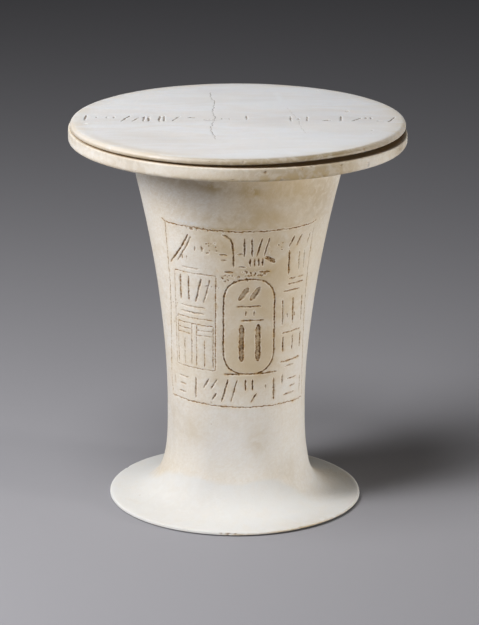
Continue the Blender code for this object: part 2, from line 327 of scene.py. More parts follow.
RIM_STAINS = (
    (-6, 0.1372, 0.0340, 0.0026, 0.60),
    (13, 0.1380, 0.0100, 0.0026, 0.60),
    (26, 0.1378, 0.0100, 0.0030, 0.60),
    (30, 0.1405, 0.0190, 0.0060, 0.42),
    (52, 0.1390, 0.0100, 0.0060, 0.10),
    (-58, 0.1372, 0.0160, 0.0022, 0.35),
    (-75, 0.1410, 0.0060, 0.0010, 0.30),
    (135, 0.1400, 0.0260, 0.0050, 0.40),
    (-150, 0.1400, 0.0180, 0.0050, 0.35),
)

# Where hands and dust have dulled the rim, and where shade is painted on it: degrees round, height, half
# width, half height, strength
RIM_SOILING_AND_SHADE = (
    (3, 0.1400, 0.0110, 0.0200, 0.38),
    (9, 0.1400, 0.0050, 0.0200, 0.20),
    (16, 0.1400, 0.0120, 0.0200, 0.50),
    # Partly painted shade, under the lid's edge at the front right
    (33, 0.1400, 0.0120, 0.0200, 0.75),
    (72, 0.1390, 0.0110, 0.0200, 0.62),
    (-38, 0.1400, 0.0140, 0.0200, 0.42),
    (-72, 0.1400, 0.0240, 0.0200, 0.18),
    # Painted shade over the highlight of the rim's upper edge, at the left
    (-64, 0.1430, 0.0280, 0.0018, 0.50),
)
# Dirt along the rim's upper edge, with painted shade that dims its highlight: strength, then depths under
# the top where the band begins and is full, and its width in from the side
RIM_EDGE_SOILING_AND_SHADE = 0.25
RIM_EDGE_BAND = (0.0014, 0.0004, 0.0016)

# Where the rim's side shows colder white
RIM_SIDE_TOP = TOP_OF_RIM - 0.0004
RIM_COOL = (
    (-66, 0.1400, 0.0260, 0.0200, 0.65),
    (-28, 0.1400, 0.0240, 0.0200, 0.50),
    (50, 0.1400, 0.0070, 0.0200, 0.80),
)

# Where the body and the foot are dulled in the same way, some of it painted shade
BODY_SOILING_AND_SHADE = (
    (-60, 0.0330, 0.0090, 0.0130, 0.26),
    (-42, 0.0060, 0.0260, 0.0090, 0.16),
    # Painted shade under the rim, at the right
    (54, 0.1210, 0.0130, 0.0120, 0.44),
    # Painted shade on the foot's shaded flank, at the front right
    (45, 0.0150, 0.0080, 0.0060, 0.24),
)

# Cloudy patches of colder white in the cream
COOL_PATCHES = (
    (-74, 0.1150, 0.0120, 0.0110, 0.65),
    (-60, 0.0250, 0.0200, 0.0130, 0.22),
    (-15, 0.0250, 0.0240, 0.0150, 0.62),
    (18, 0.0280, 0.0160, 0.0140, 0.50),
    (80, 0.0100, 0.0140, 0.0110, 0.80),
    (54, 0.0530, 0.0080, 0.0090, 0.22),
    (75, 0.0250, 0.0200, 0.0130, 0.55),
    (68, 0.0620, 0.0090, 0.0300, 0.50),
    (-34, 0.1235, 0.0150, 0.0060, 0.34),
    (-28, 0.1150, 0.0130, 0.0035, 0.42),
    (-31, 0.0980, 0.0110, 0.0060, 0.34),
    (5, 0.1060, 0.0060, 0.0050, 0.14),
    (12, 0.1290, 0.0030, 0.0020, 0.55),
    (24, 0.1215, 0.0100, 0.0025, 0.35),
    (68, 0.0770, 0.0060, 0.0110, 0.45),
    (48, 0.0475, 0.0060, 0.0040, 0.50),
    (0, 0.0400, 0.0160, 0.0018, 0.30),
    (12, 0.0320, 0.0070, 0.0050, 0.40),
)

# Places where the stone is crushed white beside the panel's upper line
BRUISES = (
    (-35, 0.1145, 0.0022, 0.0005, 0.9),
    (-29, 0.1141, 0.0030, 0.0006, 0.9),
    (-19, 0.1138, 0.0026, 0.0005, 0.8),
    (-13, 0.1137, 0.0015, 0.0004, 0.6),
)

# Upper border of the foot's pale zone, partly the paler layer that the foot is cut from and partly painted
# light: highest at the front, lowest on the shaded right. Degrees round, height
PALE_BORDER = (
    (-180, 0.0085), (-140, 0.0060), (-100, 0.0050), (-80, 0.0075), (-66, 0.0120), (-45, 0.0142),
    (-31, 0.0142), (-24, 0.0134), (-2, 0.0128), (17, 0.0139), (26, 0.0140), (35, 0.0133),
    (44, 0.0108), (56, 0.0058), (75, 0.0024), (115, 0.0020), (150, 0.0055), (180, 0.0085),
)
PALE_SOFTNESS = (
    (-180, 0.0020), (-60, 0.0014), (-25, 0.0008), (32, 0.0008), (56, 0.0026), (180, 0.0026),
)
PALE_WAVER = 0.0006

# Painted shade in dark brown on the rim's top under the lid, seen in the gap: strength, depths under the
# rim's top, and clear of its edge and the mouth
SHADE_UNDER_LID = 0.9
SHADE_UNDER_LID_BAND = (0.0006, 0.0001)
CLEAR_OF_EDGE = 0.0008
CLEAR_OF_MOUTH = 0.004

# Where hands have browned the body: the middle and the spread of it, and the heights where it begins
HANDLED_AT = math.radians(20)
HANDLED_SPREAD = math.radians(27)
HANDLED_FROM = (0.040, 0.062)

# Chips and pits: degrees round, height, radius, depth, dirt in them
CHIPS = (
    (-6.0, 0.0010, 0.0008, 0.0003, 0.8),
    (-2.8, 0.0011, 0.0011, 0.0005, 1.0),
    (0.6, 0.0010, 0.0006, 0.0003, 0.8),
    (31.0, 0.0012, 0.0010, 0.0003, 0.7),
    (-118.0, 0.0010, 0.0012, 0.0004, 0.5),
    (166.0, 0.0010, 0.0026, 0.0009, 0.6),
    (-158.0, 0.0012, 0.0018, 0.0007, 0.6),
    (-1.5, 0.1386, 0.0005, 0.0003, 0.8),
    (9.0, 0.1412, 0.0007, 0.0003, 0.7),
    (14.0, 0.1378, 0.0009, 0.0004, 0.7),
    (21.5, 0.1421, 0.0006, 0.0003, 0.9),
    (24.5, 0.1423, 0.0006, 0.0003, 0.8),
    (29.0, 0.1380, 0.0008, 0.0003, 0.4),
    (36.0, 0.1416, 0.0006, 0.0003, 0.5),
    (48.0, 0.1396, 0.0012, 0.0004, 0.15),
    (70.0, 0.1410, 0.0010, 0.0004, 0.4),
    (-89.0, 0.1424, 0.0012, 0.0006, 0.3),
    (160.0, 0.1420, 0.0030, 0.0012, 0.5),
    (-128.0, 0.1376, 0.0022, 0.0009, 0.5),
)

# A chip's flat middle as a share of its radius, how ragged its border is, and where chips can be
CHIP_FLAT = 0.35
CHIP_RAGGED = 0.45
CHIPS_BEYOND = FOOT_RADIUS - 0.002

# Hand grinding: depth, length and seed of its waves and its ripples, as noise. Then length and seed
# of the noise at the chips' borders and at the pale layer's, and how far a seed moves it each way
JAR_WAVES = (0.00010, 0.024, 1)
JAR_RIPPLES = (0.000022, 0.0035, 2)
CHIP_NOISE = (0.0005, 3)
BORDER_NOISE = (0.006, 5)
NOISE_STEPS = (7.3, 3.1, 5.7)

# Only the outside is uneven: depths under the body's surface, and the flat height that it stands on
OUTER_FROM = 0.5 * WALL
OUTER_TO = 0.2 * WALL
FLAT_FOOT = 0.0005
MILLIMETRES = 1000


def point_at(angle, radius, height):
    """A place given by its angle round from the front, its distance from the axis and its height."""
    return radius * math.sin(angle), -radius * math.cos(angle), height


def foot_point(turn):
    """The concave sweep from the foot's edge, at turn 0, up to the waist, at turn 1."""
    angle = 0.5 * math.pi * turn
    inward = math.sin(angle) ** (2 / FOOT_HOLLOWING)
    down = math.cos(angle) ** (2 / FOOT_HOLLOWING)
    radius = FOOT_RADIUS - (FOOT_RADIUS - WAIST_RADIUS) * inward
    height = WAIST_HEIGHT - (WAIST_HEIGHT - FOOT_EDGE) * down
    return radius, height + FOOT_SLOPE * (FOOT_RADIUS - radius) * down


def body_radius(height):
    """Outer radius of the body from the waist up, for one height or an array of them."""
    share = np.clip((height - WAIST_HEIGHT) / (RIM_UNDERSIDE - WAIST_HEIGHT), 0.0, None)
    return WAIST_RADIUS + (NECK_RADIUS - WAIST_RADIUS) * share**FLARE_POWER


def rounded(centre, radius, start, end, steps):
    """Points of a round edge, from one angle to the other in degrees."""
    points = []
    for i in range(steps + 1):
        angle = math.radians(start + (end - start) * i / steps)
        points.append((centre[0] + radius * math.cos(angle), centre[1] + radius * math.sin(angle)))
    return points


def between(first, last, steps):
    """The points inside a straight run, without its two ends."""
    return [
        (first[0] + (last[0] - first[0]) * i / steps, first[1] + (last[1] - first[1]) * i / steps)
        for i in range(1, steps)
    ]


def jar_section():
    """Rings from the middle of the underside round to the middle of the floor inside.

    Each is a radius, a height, and the weight of the run that leads to it in the surface's map.
    """
    edge = FOOT_EDGE_ROUND
    small = UNDERCUT_ROUND
    low = RIM_LOWER_ROUND
    high = RIM_UPPER_ROUND
    rows = [(0.0, 0.0, 0.0)]

    def add(run, points):
        rows.extend((radius, height, MAP_WEIGHTS[run]) for radius, height in points)

    stands_on = FOOT_RADIUS - UNDERCUT_WIDTH
    add("underside", between((0.0, 0.0), (stands_on, 0.0), steps=12) + [(stands_on, 0.0)])
    add("foot edge", between((stands_on, 0.0), (FOOT_RADIUS - small, UNDERCUT_HEIGHT), steps=3))
    add("foot edge", rounded((FOOT_RADIUS - small, UNDERCUT_HEIGHT + small), small, -90, 0, steps=2))
    add("foot edge", rounded((FOOT_RADIUS - edge, FOOT_EDGE - edge), edge, 0, 60, steps=4))
    turns = [(i / FOOT_STEPS) ** FOOT_CROWDING for i in range(1, FOOT_STEPS + 1)]
    add("foot", [foot_point(turn) for turn in turns])

    neck_height = RIM_UNDERSIDE - NECK_FILLET
    flare = round((neck_height - WAIST_HEIGHT) / ROW_STEP)
    heights = [WAIST_HEIGHT + (neck_height - WAIST_HEIGHT) * i / flare for i in range(1, flare)]
    add("body", [(float(body_radius(height)), height) for height in heights])
    inner = float(body_radius(neck_height)) + NECK_FILLET
    add("neck", rounded((inner, neck_height), NECK_FILLET, 180, 90, steps=4))

    add("rim underside", between((inner, RIM_UNDERSIDE), (RIM_RADIUS - low, RIM_UNDERSIDE), steps=16))
    add("rim edge", rounded((RIM_RADIUS - low, RIM_UNDERSIDE + low), low, -90, 0, steps=6))
    add("rim edge", between((RIM_RADIUS, RIM_UNDERSIDE + low), (RIM_RADIUS, TOP_OF_RIM - high), steps=5))
    add("rim edge", rounded((RIM_RADIUS - high, TOP_OF_RIM - high), high, 0, 90, steps=4))
    mouth = MOUTH_RADIUS + MOUTH_ROUND
    add("rim top", between((RIM_RADIUS - high, TOP_OF_RIM), (mouth, TOP_OF_RIM), steps=20))
    add("mouth", rounded((mouth, TOP_OF_RIM - MOUTH_ROUND), MOUTH_ROUND, 90, 180, steps=3))

    deep = WAIST_HEIGHT - RIM_UNDERSIDE
    depths = [RIM_UNDERSIDE + deep * i / BORE_STEPS for i in range(BORE_STEPS + 1)]
    add("bore", [(float(body_radius(height)) - WALL, height) for height in depths])
    flat = WAIST_RADIUS - WALL - FLOOR_ROUND
    add("floor", rounded((flat, FLOOR_THICKNESS + FLOOR_ROUND), FLOOR_ROUND, 0, -90, steps=5))
    add("floor", between((flat, FLOOR_THICKNESS), (0.0, FLOOR_THICKNESS), steps=5))
    add("floor", [(0.0, FLOOR_THICKNESS)])
    return rows


def column_angles(level):
    """Angles of the jar's columns at a height: even steps of arc over the panel, wider ones behind."""
    reach = 0.5 * PANEL_WIDTH + PANEL_MARGIN
    columns = round(2 * reach / COLUMN_STEP)
    radius = float(body_radius(level))
    front = (PANEL_SHIFT + np.linspace(-reach, reach, columns + 1)) / radius
    back = np.linspace(front[-1], front[0] + 2 * math.pi, BACK_COLUMNS + 1)[1:-1]
    return np.concatenate([front, back])


def map_across(columns):
    """Where each column lies across the surface's map: the front takes two thirds of it."""
    front = columns - BACK_COLUMNS
    return np.concatenate(
        [
            np.linspace(MAP_MARGIN, MAP_FRONT, front + 1),
            np.linspace(MAP_FRONT, 1 - MAP_MARGIN, BACK_COLUMNS + 1)[1:],
        ]
    )


def add_band(mesh, layer, lower, upper, across, heights):
    """Faces between two rings of points, or from a ring to a single point, with their map places."""
    count = max(len(lower), len(upper))
    for i in range(count):
        j = (i + 1) % count
        if len(lower) == 1:
            corners = ((lower[0], i + 0.5, 0), (upper[j], i + 1, 1), (upper[i], i, 1))
        elif len(upper) == 1:
            corners = ((lower[i], i, 0), (lower[j], i + 1, 0), (upper[0], i + 0.5, 1))
        else:
            corners = ((lower[i], i, 0), (lower[j], i + 1, 0), (upper[j], i + 1, 1), (upper[i], i, 1))
        face = mesh.faces.new([corner[0] for corner in corners])
        for loop, (_, column, end) in zip(face.loops, corners):
            place = np.interp(column, range(len(across)), across)
            loop[layer].uv = (place, heights[end])


def turned_jar():
    """The jar's plain turned surface, as a closed mesh."""
    rows = jar_section()
    runs = [0.0]
    for (r0, z0, _), (r1, z1, weight) in zip(rows, rows[1:]):
        runs.append(runs[-1] + weight * math.hypot(r1 - r0, z1 - z0))
    heights = [MAP_MARGIN + (1 - 2 * MAP_MARGIN) * run / runs[-1] for run in runs]
    mesh = bmesh.new()
    layer = mesh.loops.layers.uv.new("OFBake")
    rings = []
    level = PANEL_BOTTOM
    for radius, height, _ in rows:
        # The columns spread with the body up to the panel's top, and keep to their angles from there
        level = max(level, min(height, PANEL_TOP))
        if radius == 0.0:
            rings.append([mesh.verts.new((0.0, 0.0, height))])
            continue
        rings.append([mesh.verts.new(point_at(angle, radius, height)) for angle in column_angles(level)])
    across = map_across(len(rings[1]))
    for i in range(len(rings) - 1):
        add_band(mesh, layer, rings[i], rings[i + 1], across, heights[i : i + 2])
    return mesh


def bend(a, b, c, d, t):
    """The place at share t of a smooth curve from b to c, given the points before and after them."""
    return 0.5 * (2 * b + (c - a) * t + (2 * a - 5 * b + 4 * c - d) * t**2 + (3 * b - a - 3 * c + d) * t**3)


def smooth_path(path, closed):
    """A path of evenly spaced points through the given ones, rounded at its bends."""
    if len(path) > 2 and not closed:
        ends = [path[0]] + list(path) + [path[-1]]
        fine = []
        for corners in zip(ends, ends[1:], ends[2:], ends[3:]):
            for i in range(BEND_STEPS):
                fine.append(tuple(bend(*values, i / BEND_STEPS) for values in zip(*corners)))
        path = fine + [path[-1]]
    points = np.array(list(path) + ([path[0]] if closed else []))
    runs = np.concatenate([[0.0], np.cumsum(np.hypot(*np.diff(points, axis=0).T))])
    count = max(2, round(runs[-1] / TOUCH_STEP))
    at = np.linspace(0.0, runs[-1], count + 1)
    return np.column_stack([np.interp(at, runs, points[:, 0]), np.interp(at, runs, points[:, 1])]), at


def uneven(at, chance, lengths):
    """A smooth wander between about -1 and 1 along a cut, of the given wavelengths."""
    total = np.zeros(len(at))
    for length in lengths:
        wave = np.sin(2 * math.pi * (at / length + chance.random()))
        total += wave * (LEAST_WAVE + (1 - LEAST_WAVE) * chance.random())
    return total / len(lengths)


def hand_cut(
    path, half_width, depth, dirt, chance, closed=False, wander=HAND_WANDER, ragged=HAND_RAGGED
):
    """The touches of the point along one cut: across, up, half width, depth and dirt of each."""
    points, at = smooth_path(path, closed)
    ways = np.gradient(points, axis=0)
    ways /= np.maximum(np.hypot(*ways.T)[:, None], LEAST_LENGTH)
    swing = wander * uneven(at, chance, WANDER_LENGTHS)
    points = points + np.column_stack([-ways[:, 1], ways[:, 0]]) * swing[:, None]
    width = half_width * (1.0 + ragged * uneven(at, chance, WIDTH_LENGTHS))
    deep = depth * (MIDDLE_DEPTH + DEPTH_SWING * uneven(at, chance, DEPTH_LENGTHS))
    soil = dirt * (MIDDLE_DIRT + DIRT_SWING * uneven(at, chance, DIRT_LENGTHS))
    if not closed:
        slant = min(SLANT_WIDTHS * half_width, CUT_SLANT)
        ends = np.clip(np.minimum(at, at[-1] - at) / slant, 0.0, 1.0)
        width = width * (END_WIDTH + (1 - END_WIDTH) * ends)
        deep = deep * (END_DEPTH + (1 - END_DEPTH) * ends)
    return np.column_stack([points, width, deep, np.clip(soil, LEAST_DIRT, 1.0)])


def row_paths(row, left, bottom, width, height):
    """The paths of one row of cuts, each in its own cell of the row."""
    from_x, to_x, foot, rise, _, words = row
    cuts = words.split()
    cell = (to_x - from_x) / len(cuts)
    paths = []
    for i, word in enumerate(cuts):
        middle = from_x + cell * (i + 0.5)
        path = []
        for x, y in SHAPES[word]:
            across = left + width * (middle + x * cell) / 100
            path.append((across, bottom + height * (foot + y * rise) / 100))
        paths.append(path)
    return paths


def on_panel(across, up):
    """A place given in hundredths of the panel, as arc and height on the body."""
    return (
        PANEL_SHIFT + PANEL_WIDTH * (across / 100 - 0.5),
        PANEL_BOTTOM + PANEL_HEIGHT * up / 100,
    )


def ring_size():
    """The oval ring's half width, and half the length of its straight sides."""
    half_width = PANEL_WIDTH * RING_HALF[0] / 100
    return half_width, PANEL_HEIGHT * RING_HALF[1] / 100 - half_width


def ring_path():
    """The oval ring: two straight sides joined by ends a little squarer than half circles."""
    half_width, straight = ring_size()
    middle_x, middle_y = on_panel(*RING_CENTRE)
    points = []
    for i in range(RING_POINTS):
        angle = 2 * math.pi * (i + 0.5) / RING_POINTS
        side = math.copysign(abs(math.cos(angle)) ** RING_BEND, math.cos(angle))
        rise = math.copysign(straight + half_width * abs(math.sin(angle)) ** RING_BEND, math.sin(angle))
        points.append((middle_x + half_width * side, middle_y + rise))
    return points


def facade_paths():
    """The panelled facade inside its frame: two bands, and a pair of niches with lintels under them."""
    left, right, bottom, _ = FACADE
    foot = bottom + LINE_GAP
    paths = [[on_panel(left + LINE_GAP, band), on_panel(right - LINE_GAP, band)] for band in FACADE_BANDS]
    for sides in FACADE_NICHES:
        first, last = (left + (right - left) * side for side in sides)
        middle = 0.5 * (first + last)
        paths.extend([[on_panel(side, foot), on_panel(side, FACADE_BANDS[-1])] for side in (first, last)])
        paths.append([on_panel(middle, foot), on_panel(middle, FACADE_LINTELS[-1] - 2 * LINE_GAP)])
        paths.extend([[on_panel(first, lintel), on_panel(last, lintel)] for lintel in FACADE_LINTELS])
    return paths


def box_sides(left, right, bottom, top):
    """The four straight lines of an upright frame on the panel, from its lower one round."""
    corners = [on_panel(left, bottom), on_panel(right, bottom), on_panel(right, top), on_panel(left, top)]
    return [[corners[i], corners[(i + 1) % 4]] for i in range(4)]


def panel_cuts():
    """Every touch of the point on the panel: across, up, half width, depth and dirt."""
    chance = np.random.default_rng(PANEL_SEED)
    left, bottom = on_panel(0, 0)
    cuts = []
    for row in PANEL_ROWS:
        for path in row_paths(row, left, bottom, PANEL_WIDTH, PANEL_HEIGHT):
            dirt = row[4] * chance.uniform(*STROKE_DIRT_RANGE)
            half = STROKE_HALF * chance.uniform(*STROKE_WIDTH_RANGE)
            half *= CLEAN_STROKE_WIDTH + (1 - CLEAN_STROKE_WIDTH) * row[4]
            cuts.append(hand_cut(path, half, STROKE_DEPTH, dirt, chance))
    for row in BROAD_ROWS:
        for path in row_paths(row, left, bottom, PANEL_WIDTH, PANEL_HEIGHT):
            cuts.append(hand_cut(path, BROAD_HALF, STROKE_DEPTH, row[4], chance, ragged=BROAD_RAGGED))
    for path in facade_paths():
        cuts.append(hand_cut(path, FRAME_HALF, FRAME_DEPTH, chance.uniform(*FACADE_LINE_DIRT), chance))
    for path, dirt in zip(box_sides(*FACADE), FACADE_DIRT):
        cuts.append(hand_cut(path, FRAME_HALF, FRAME_DEPTH, dirt, chance))
    for line, dirt in zip(FRAME_LINES, FRAME_DIRT):
        path = [on_panel(*place) for place in line]
        cuts.append(hand_cut(path, OUTLINE_HALF, FRAME_DEPTH, dirt, chance, wander=OUTLINE_WANDER))
    cuts.append(hand_cut(ring_path(), RING_HALF_LINE, RING_DEPTH, RING_DIRT, chance, closed=True))
    base_left, base_right, base = RING_BASE
    path = [on_panel(base_left, base), on_panel(base_right, base)]
    cuts.append(hand_cut(path, RING_HALF_LINE, RING_DEPTH, RING_DIRT, chance))
    for from_x, to_x, foot, top, count in PECKED:
        for _ in range(count):
            across, up = on_panel(chance.uniform(from_x, to_x), chance.uniform(foot, top))
            size = chance.uniform(*PECK_SIZES)
            cuts.append(np.array([[across, up, size, PECK_DEPTH * size, chance.uniform(*PECK_DIRT)]]))
    return np.vstack(cuts)


def tree_of(touches):
    """The touches laid out so that the nearest one is quickly found."""
    tree = kdtree.KDTree(len(touches))
    for i, touch in enumerate(touches):
        tree.insert((touch[0], touch[1], 0.0), i)
    tree.balance()
    return tree


def nearest_cuts(tree, touches, places, picked):
    """How far each picked place lies inside the nearest cut, and that cut's depth and dirt there."""
    inside = np.full(len(places), FAR_OUTSIDE)
    deep = np.zeros(len(places))
    dirt = np.zeros(len(places))
    for i in np.flatnonzero(picked):
        _, touch, away = tree.find((*places[i], 0.0))
        inside[i] = touches[touch][2] - away
        deep[i] = touches[touch][3]
        dirt[i] = touches[touch][4]
    return inside, deep, dirt


def eased(value, low, high):
    """0 below low, 1 above high, and a smooth rise between."""
    share = np.clip((value - low) / (high - low), 0.0, 1.0)
    return share * share * (3 - 2 * share)


def split_near(mesh, wanted, times):
    """Splits each face that the test picks into four, and again as often as asked."""
    for _ in range(times):
        edges = {edge for face in mesh.faces if wanted(face) for edge in face.edges}
        bmesh.ops.subdivide_edges(mesh, edges=list(edges), cuts=1, use_grid_fill=True)


def roughness_of(points, size, seed):
    """Smooth noise from about -1 to 1 over the given size, at each point."""
    shift = Vector([seed * step for step in NOISE_STEPS])
    return np.array([noise.noise(Vector(point) / size + shift) for point in points])


def ground_by_hand(points, depth, length, seed):
    """The waves of hand grinding, which only ever go inward."""
    return depth * (1.0 + roughness_of(points, length, seed))


def turned_from(angles, middle):
    """How far round each angle lies from the middle one, to either side."""
    return (angles - middle + math.pi) % (2 * math.pi) - math.pi


def facing(angles, middle, spread):
    """1 at the middle angle, falling off to either side of it."""
    return np.exp(-((turned_from(angles, middle) / spread) ** 2))


def patches(angles, heights, radii, places):
    """Soft round patches, each at an angle and a height, added up and kept under 1."""
    clear = np.ones(len(angles))
    for degrees, height, wide, high, strength in places:
        turn = turned_from(angles, math.radians(degrees))
        away = (turn * radii / wide) ** 2 + ((heights - height) / high) ** 2
        clear *= 1.0 - strength * np.exp(-away)
    return 1.0 - clear


def knocked_out(points, chips, ragged):
    """The depth of the chips at each point, and the dirt in them."""
    deep = np.zeros(len(points))
    dirt = np.zeros(len(points))
    for place, reach, depth, soil in chips:
        away = np.linalg.norm(points - np.array(place), axis=1) / reach + CHIP_RAGGED * ragged
        hollow = 1.0 - eased(away, CHIP_FLAT, 1.0)
        deep = np.maximum(deep, depth * hollow)
        dirt = np.maximum(dirt, soil * hollow)
    return deep, dirt


def store(data, **marks):
    """Keeps the named marks on the piece's points, where its finish reads them."""
    for name, values in marks.items():
        layer = data.attributes.new(name, "FLOAT", "POINT")
        layer.data.foreach_set("value", np.asarray(values, np.float32))


def set_out(name, data):
    """An object of the given data, placed in the scene."""
    made = bpy.data.objects.new(name, data)
    bpy.context.scene.collection.objects.link(made)
    return made


def piece_from(mesh, name):
    """An object made of the mesh, with smooth shading and its faces turned outward."""
    bmesh.ops.triangulate(mesh, faces=[face for face in mesh.faces if len(face.verts) > 4])
    bmesh.ops.recalc_face_normals(mesh, faces=mesh.faces)
    data = bpy.data.meshes.new(name)
    mesh.to_mesh(data)
    mesh.free()
    data.shade_smooth()
    return set_out(name, data)


def points_of(data):
    """The mesh's points and their normals."""
    points = np.empty(len(data.vertices) * 3)
    normals = np.empty(len(data.vertices) * 3)
    data.vertices.foreach_get("co", points)
    data.vertices.foreach_get("normal", normals)
    return points.reshape(-1, 3), normals.reshape(-1, 3)


def round_places(points):
    """Each point's angle round from the front, and its distance from the axis."""
    return np.arctan2(points[:, 0], -points[:, 1]), np.hypot(points[:, 0], points[:, 1])


def jar_chips():
    """The chips on the foot's edge and on the rim: place, radius, depth and dirt of each."""
    chips = []
    for degrees, height, reach, depth, soil in CHIPS:
        radius = FOOT_RADIUS if height < WAIST_HEIGHT else RIM_RADIUS
        chips.append((Vector(point_at(math.radians(degrees), radius, height)), reach, depth, soil))
    return chips


def near_jar_mark(face, tree, touches, chips):
    """Whether a face lies near a cut on the body, or near a chip."""
    middle = face.calc_center_median()
    radius = math.hypot(middle.x, middle.y)
    if PANEL_BOTTOM - PANEL_MARGIN < middle.z < PANEL_TOP + PANEL_MARGIN:
        outside = float(body_radius(middle.z))
        if radius <= outside - BODY_SKIN:
            return False
        across = math.atan2(middle.x, -middle.y) * outside
        _, touch, away = tree.find((across, middle.z, 0.0))
        return away < touches[touch][2] + FINE_REACH
    if radius <= CHIPS_BEYOND:
        return False
    return any((middle - place).length < reach + FINE_REACH for place, reach, _, _ in chips)


def wear_jar(points, angles, radii, heights):
    """Wears down the rim's upper side and the foot's underside."""
    share = eased(heights, *RIM_WEAR_HEIGHTS) * eased(radii, *RIM_WEAR_RADII)
    points[:, 2] -= RIM_WEAR * facing(angles, RIM_WEAR_AT, RIM_WEAR_SPREAD) * share
    share = eased(radii, *FOOT_WEAR_RADII) * (1.0 - eased(heights, *FOOT_WEAR_HEIGHTS))
    points[:, 2] += FOOT_WEAR * facing(angles, FOOT_WEAR_AT, FOOT_WEAR_SPREAD) * share


def pale_stone_and_painted_light(points, angles, heights):
    """1 in the foot's pale zone, up to its wavering border: partly the paler layer that the foot is cut
    from, partly painted light.
    """
    border = np.interp(np.degrees(angles), *zip(*PALE_BORDER))
    border = border + PALE_WAVER * roughness_of(points, *BORDER_NOISE)
    soft = np.interp(np.degrees(angles), *zip(*PALE_SOFTNESS))
    return (1.0 - eased(heights, border - soft, border + soft)) * (heights < WAIST_HEIGHT)


def within_ring(angles, heights):
    """1 inside the oval ring, easing off across its line."""
    ring_x, ring_y = on_panel(*RING_CENTRE)
    half_width, straight = ring_size()
    aside = angles * body_radius(heights) - ring_x
    to_ring = np.hypot(aside, np.maximum(np.abs(heights - ring_y) - straight, 0.0))
    return 1.0 - eased(to_ring, half_width - RING_EASE[0], half_width + RING_EASE[1])


def jar_marks(points, angles, radii, heights, on_body):
    """The stains, dirt, paler stone, painted shade and painted light that the jar's finish reads, by name.
    """
    below = (radii < body_radius(heights) + RIM_STANDS_OUT) | (heights < WAIST_HEIGHT)

    def marked(on_jar, on_rim):
        of_jar = patches(angles, heights, radii, on_jar)
        return np.where(below, of_jar, patches(angles, heights, radii, on_rim))

    low, high, wide = RIM_EDGE_BAND
    rim_edge = eased(heights, TOP_OF_RIM - low, TOP_OF_RIM - high) * (radii > RIM_RADIUS - wide)
    low, high = SHADE_UNDER_LID_BAND
    under_lid = eased(heights, TOP_OF_RIM - low, TOP_OF_RIM - high) * (radii < RIM_RADIUS - CLEAR_OF_EDGE)
    handled = facing(angles, HANDLED_AT, HANDLED_SPREAD) * eased(heights, *HANDLED_FROM)
    return {
        # Stains, with painted shade and glow among them
        "stain_and_shade": marked(STAINS_AND_SHADE, RIM_STAINS),
        # The foot's pale zone, partly painted light
        "pale_stone_and_painted_light": pale_stone_and_painted_light(points, angles, heights),
        "in_ring": on_body * within_ring(angles, heights),
        "bruised": patches(angles, heights, radii, BRUISES),
        "cool": marked(COOL_PATCHES, RIM_COOL) * (below | (heights < RIM_SIDE_TOP)),
        # Dulled places, some of them painted shade
        "soiled_and_shaded": np.maximum(marked(BODY_SOILING_AND_SHADE, RIM_SOILING_AND_SHADE), RIM_EDGE_SOILING_AND_SHADE * rim_edge),
        # Painted shade on the rim's top under the lid
        "shade_under_lid": SHADE_UNDER_LID * under_lid * (radii > MOUTH_RADIUS + CLEAR_OF_MOUTH),
        "handled": handled * below * (heights < RIM_UNDERSIDE),
    }


def carved_jar():
    """The jar with its cuts, chips, wear and the slight unevenness of a hand-ground surface."""
    touches = panel_cuts()
    tree = tree_of(touches)
    chips = jar_chips()
    mesh = turned_jar()
    split_near(mesh, lambda face: near_jar_mark(face, tree, touches, chips), FINE_TIMES)
    jar = piece_from(mesh, "travertine_jar")
    points, normals = points_of(jar.data)
    angles, radii = round_places(points)
    heights = points[:, 2]
    outside = body_radius(heights)

    on_body = (radii > outside - BODY_SKIN) & (heights > WAIST_HEIGHT) & (heights < RIM_UNDERSIDE)
    places = np.column_stack([angles * outside, heights])
    inside, deep, dirt = nearest_cuts(tree, touches, places, on_body)
    chipped, chip_dirt = knocked_out(points, chips, roughness_of(points, *CHIP_NOISE))
    outer = eased(radii, outside - OUTER_FROM, outside - OUTER_TO) * (heights > FLAT_FOOT)
    waves = ground_by_hand(points, *JAR_WAVES) + ground_by_hand(points, *JAR_RIPPLES)
    inward = deep * eased(inside, 0.0, CUT_SLOPE) + chipped + waves * outer
    points = points - normals * inward[:, None]

    swell = np.interp(heights, *zip(*RIGHT_SWELL)) * np.clip(np.sin(angles), 0.0, 1.0) * outer
    points[:, 0] += swell * np.sin(angles)
    points[:, 1] -= swell * np.cos(angles)
    wear_jar(points, angles, radii, heights)
    jar.data.vertices.foreach_set("co", points.ravel())
    jar.data.update()

    store(jar.data, inside_cut=inside * MILLIMETRES, cut_dirt=dirt, chip_dirt=chip_dirt)
    store(jar.data, **jar_marks(points, angles, radii, heights, on_body))
    return jar


jar = carved_jar()


def plug_in(tree, node, sockets):
    """Gives each named socket of a node a value, or joins it to another socket."""
    for name, value in sockets.items():
        if isinstance(value, bpy.types.NodeSocket):
            tree.links.new(value, node.inputs[name])
        else:
            node.inputs[name].default_value = value


def put(tree, kind, sockets=None, **settings):
    """A new node with its settings and sockets."""
    made = tree.nodes.new("ShaderNode" + kind)
    for name, value in settings.items():
        setattr(made, name, value)
    plug_in(tree, made, sockets or {})
    return made


def use(tree, group, sockets):
    """The outputs of a group placed in a material."""
    made = tree.nodes.new("ShaderNodeGroup")
    made.node_tree = group
    plug_in(tree, made, sockets)
    return made.outputs


def maths(tree, operation, first, second):
    """The result of an operation on two values."""
    return put(tree, "Math", {0: first, 1: second}, operation=operation).outputs[0]


def product(tree, first, second):
    """Two values multiplied."""
    return maths(tree, "MULTIPLY", first, second)


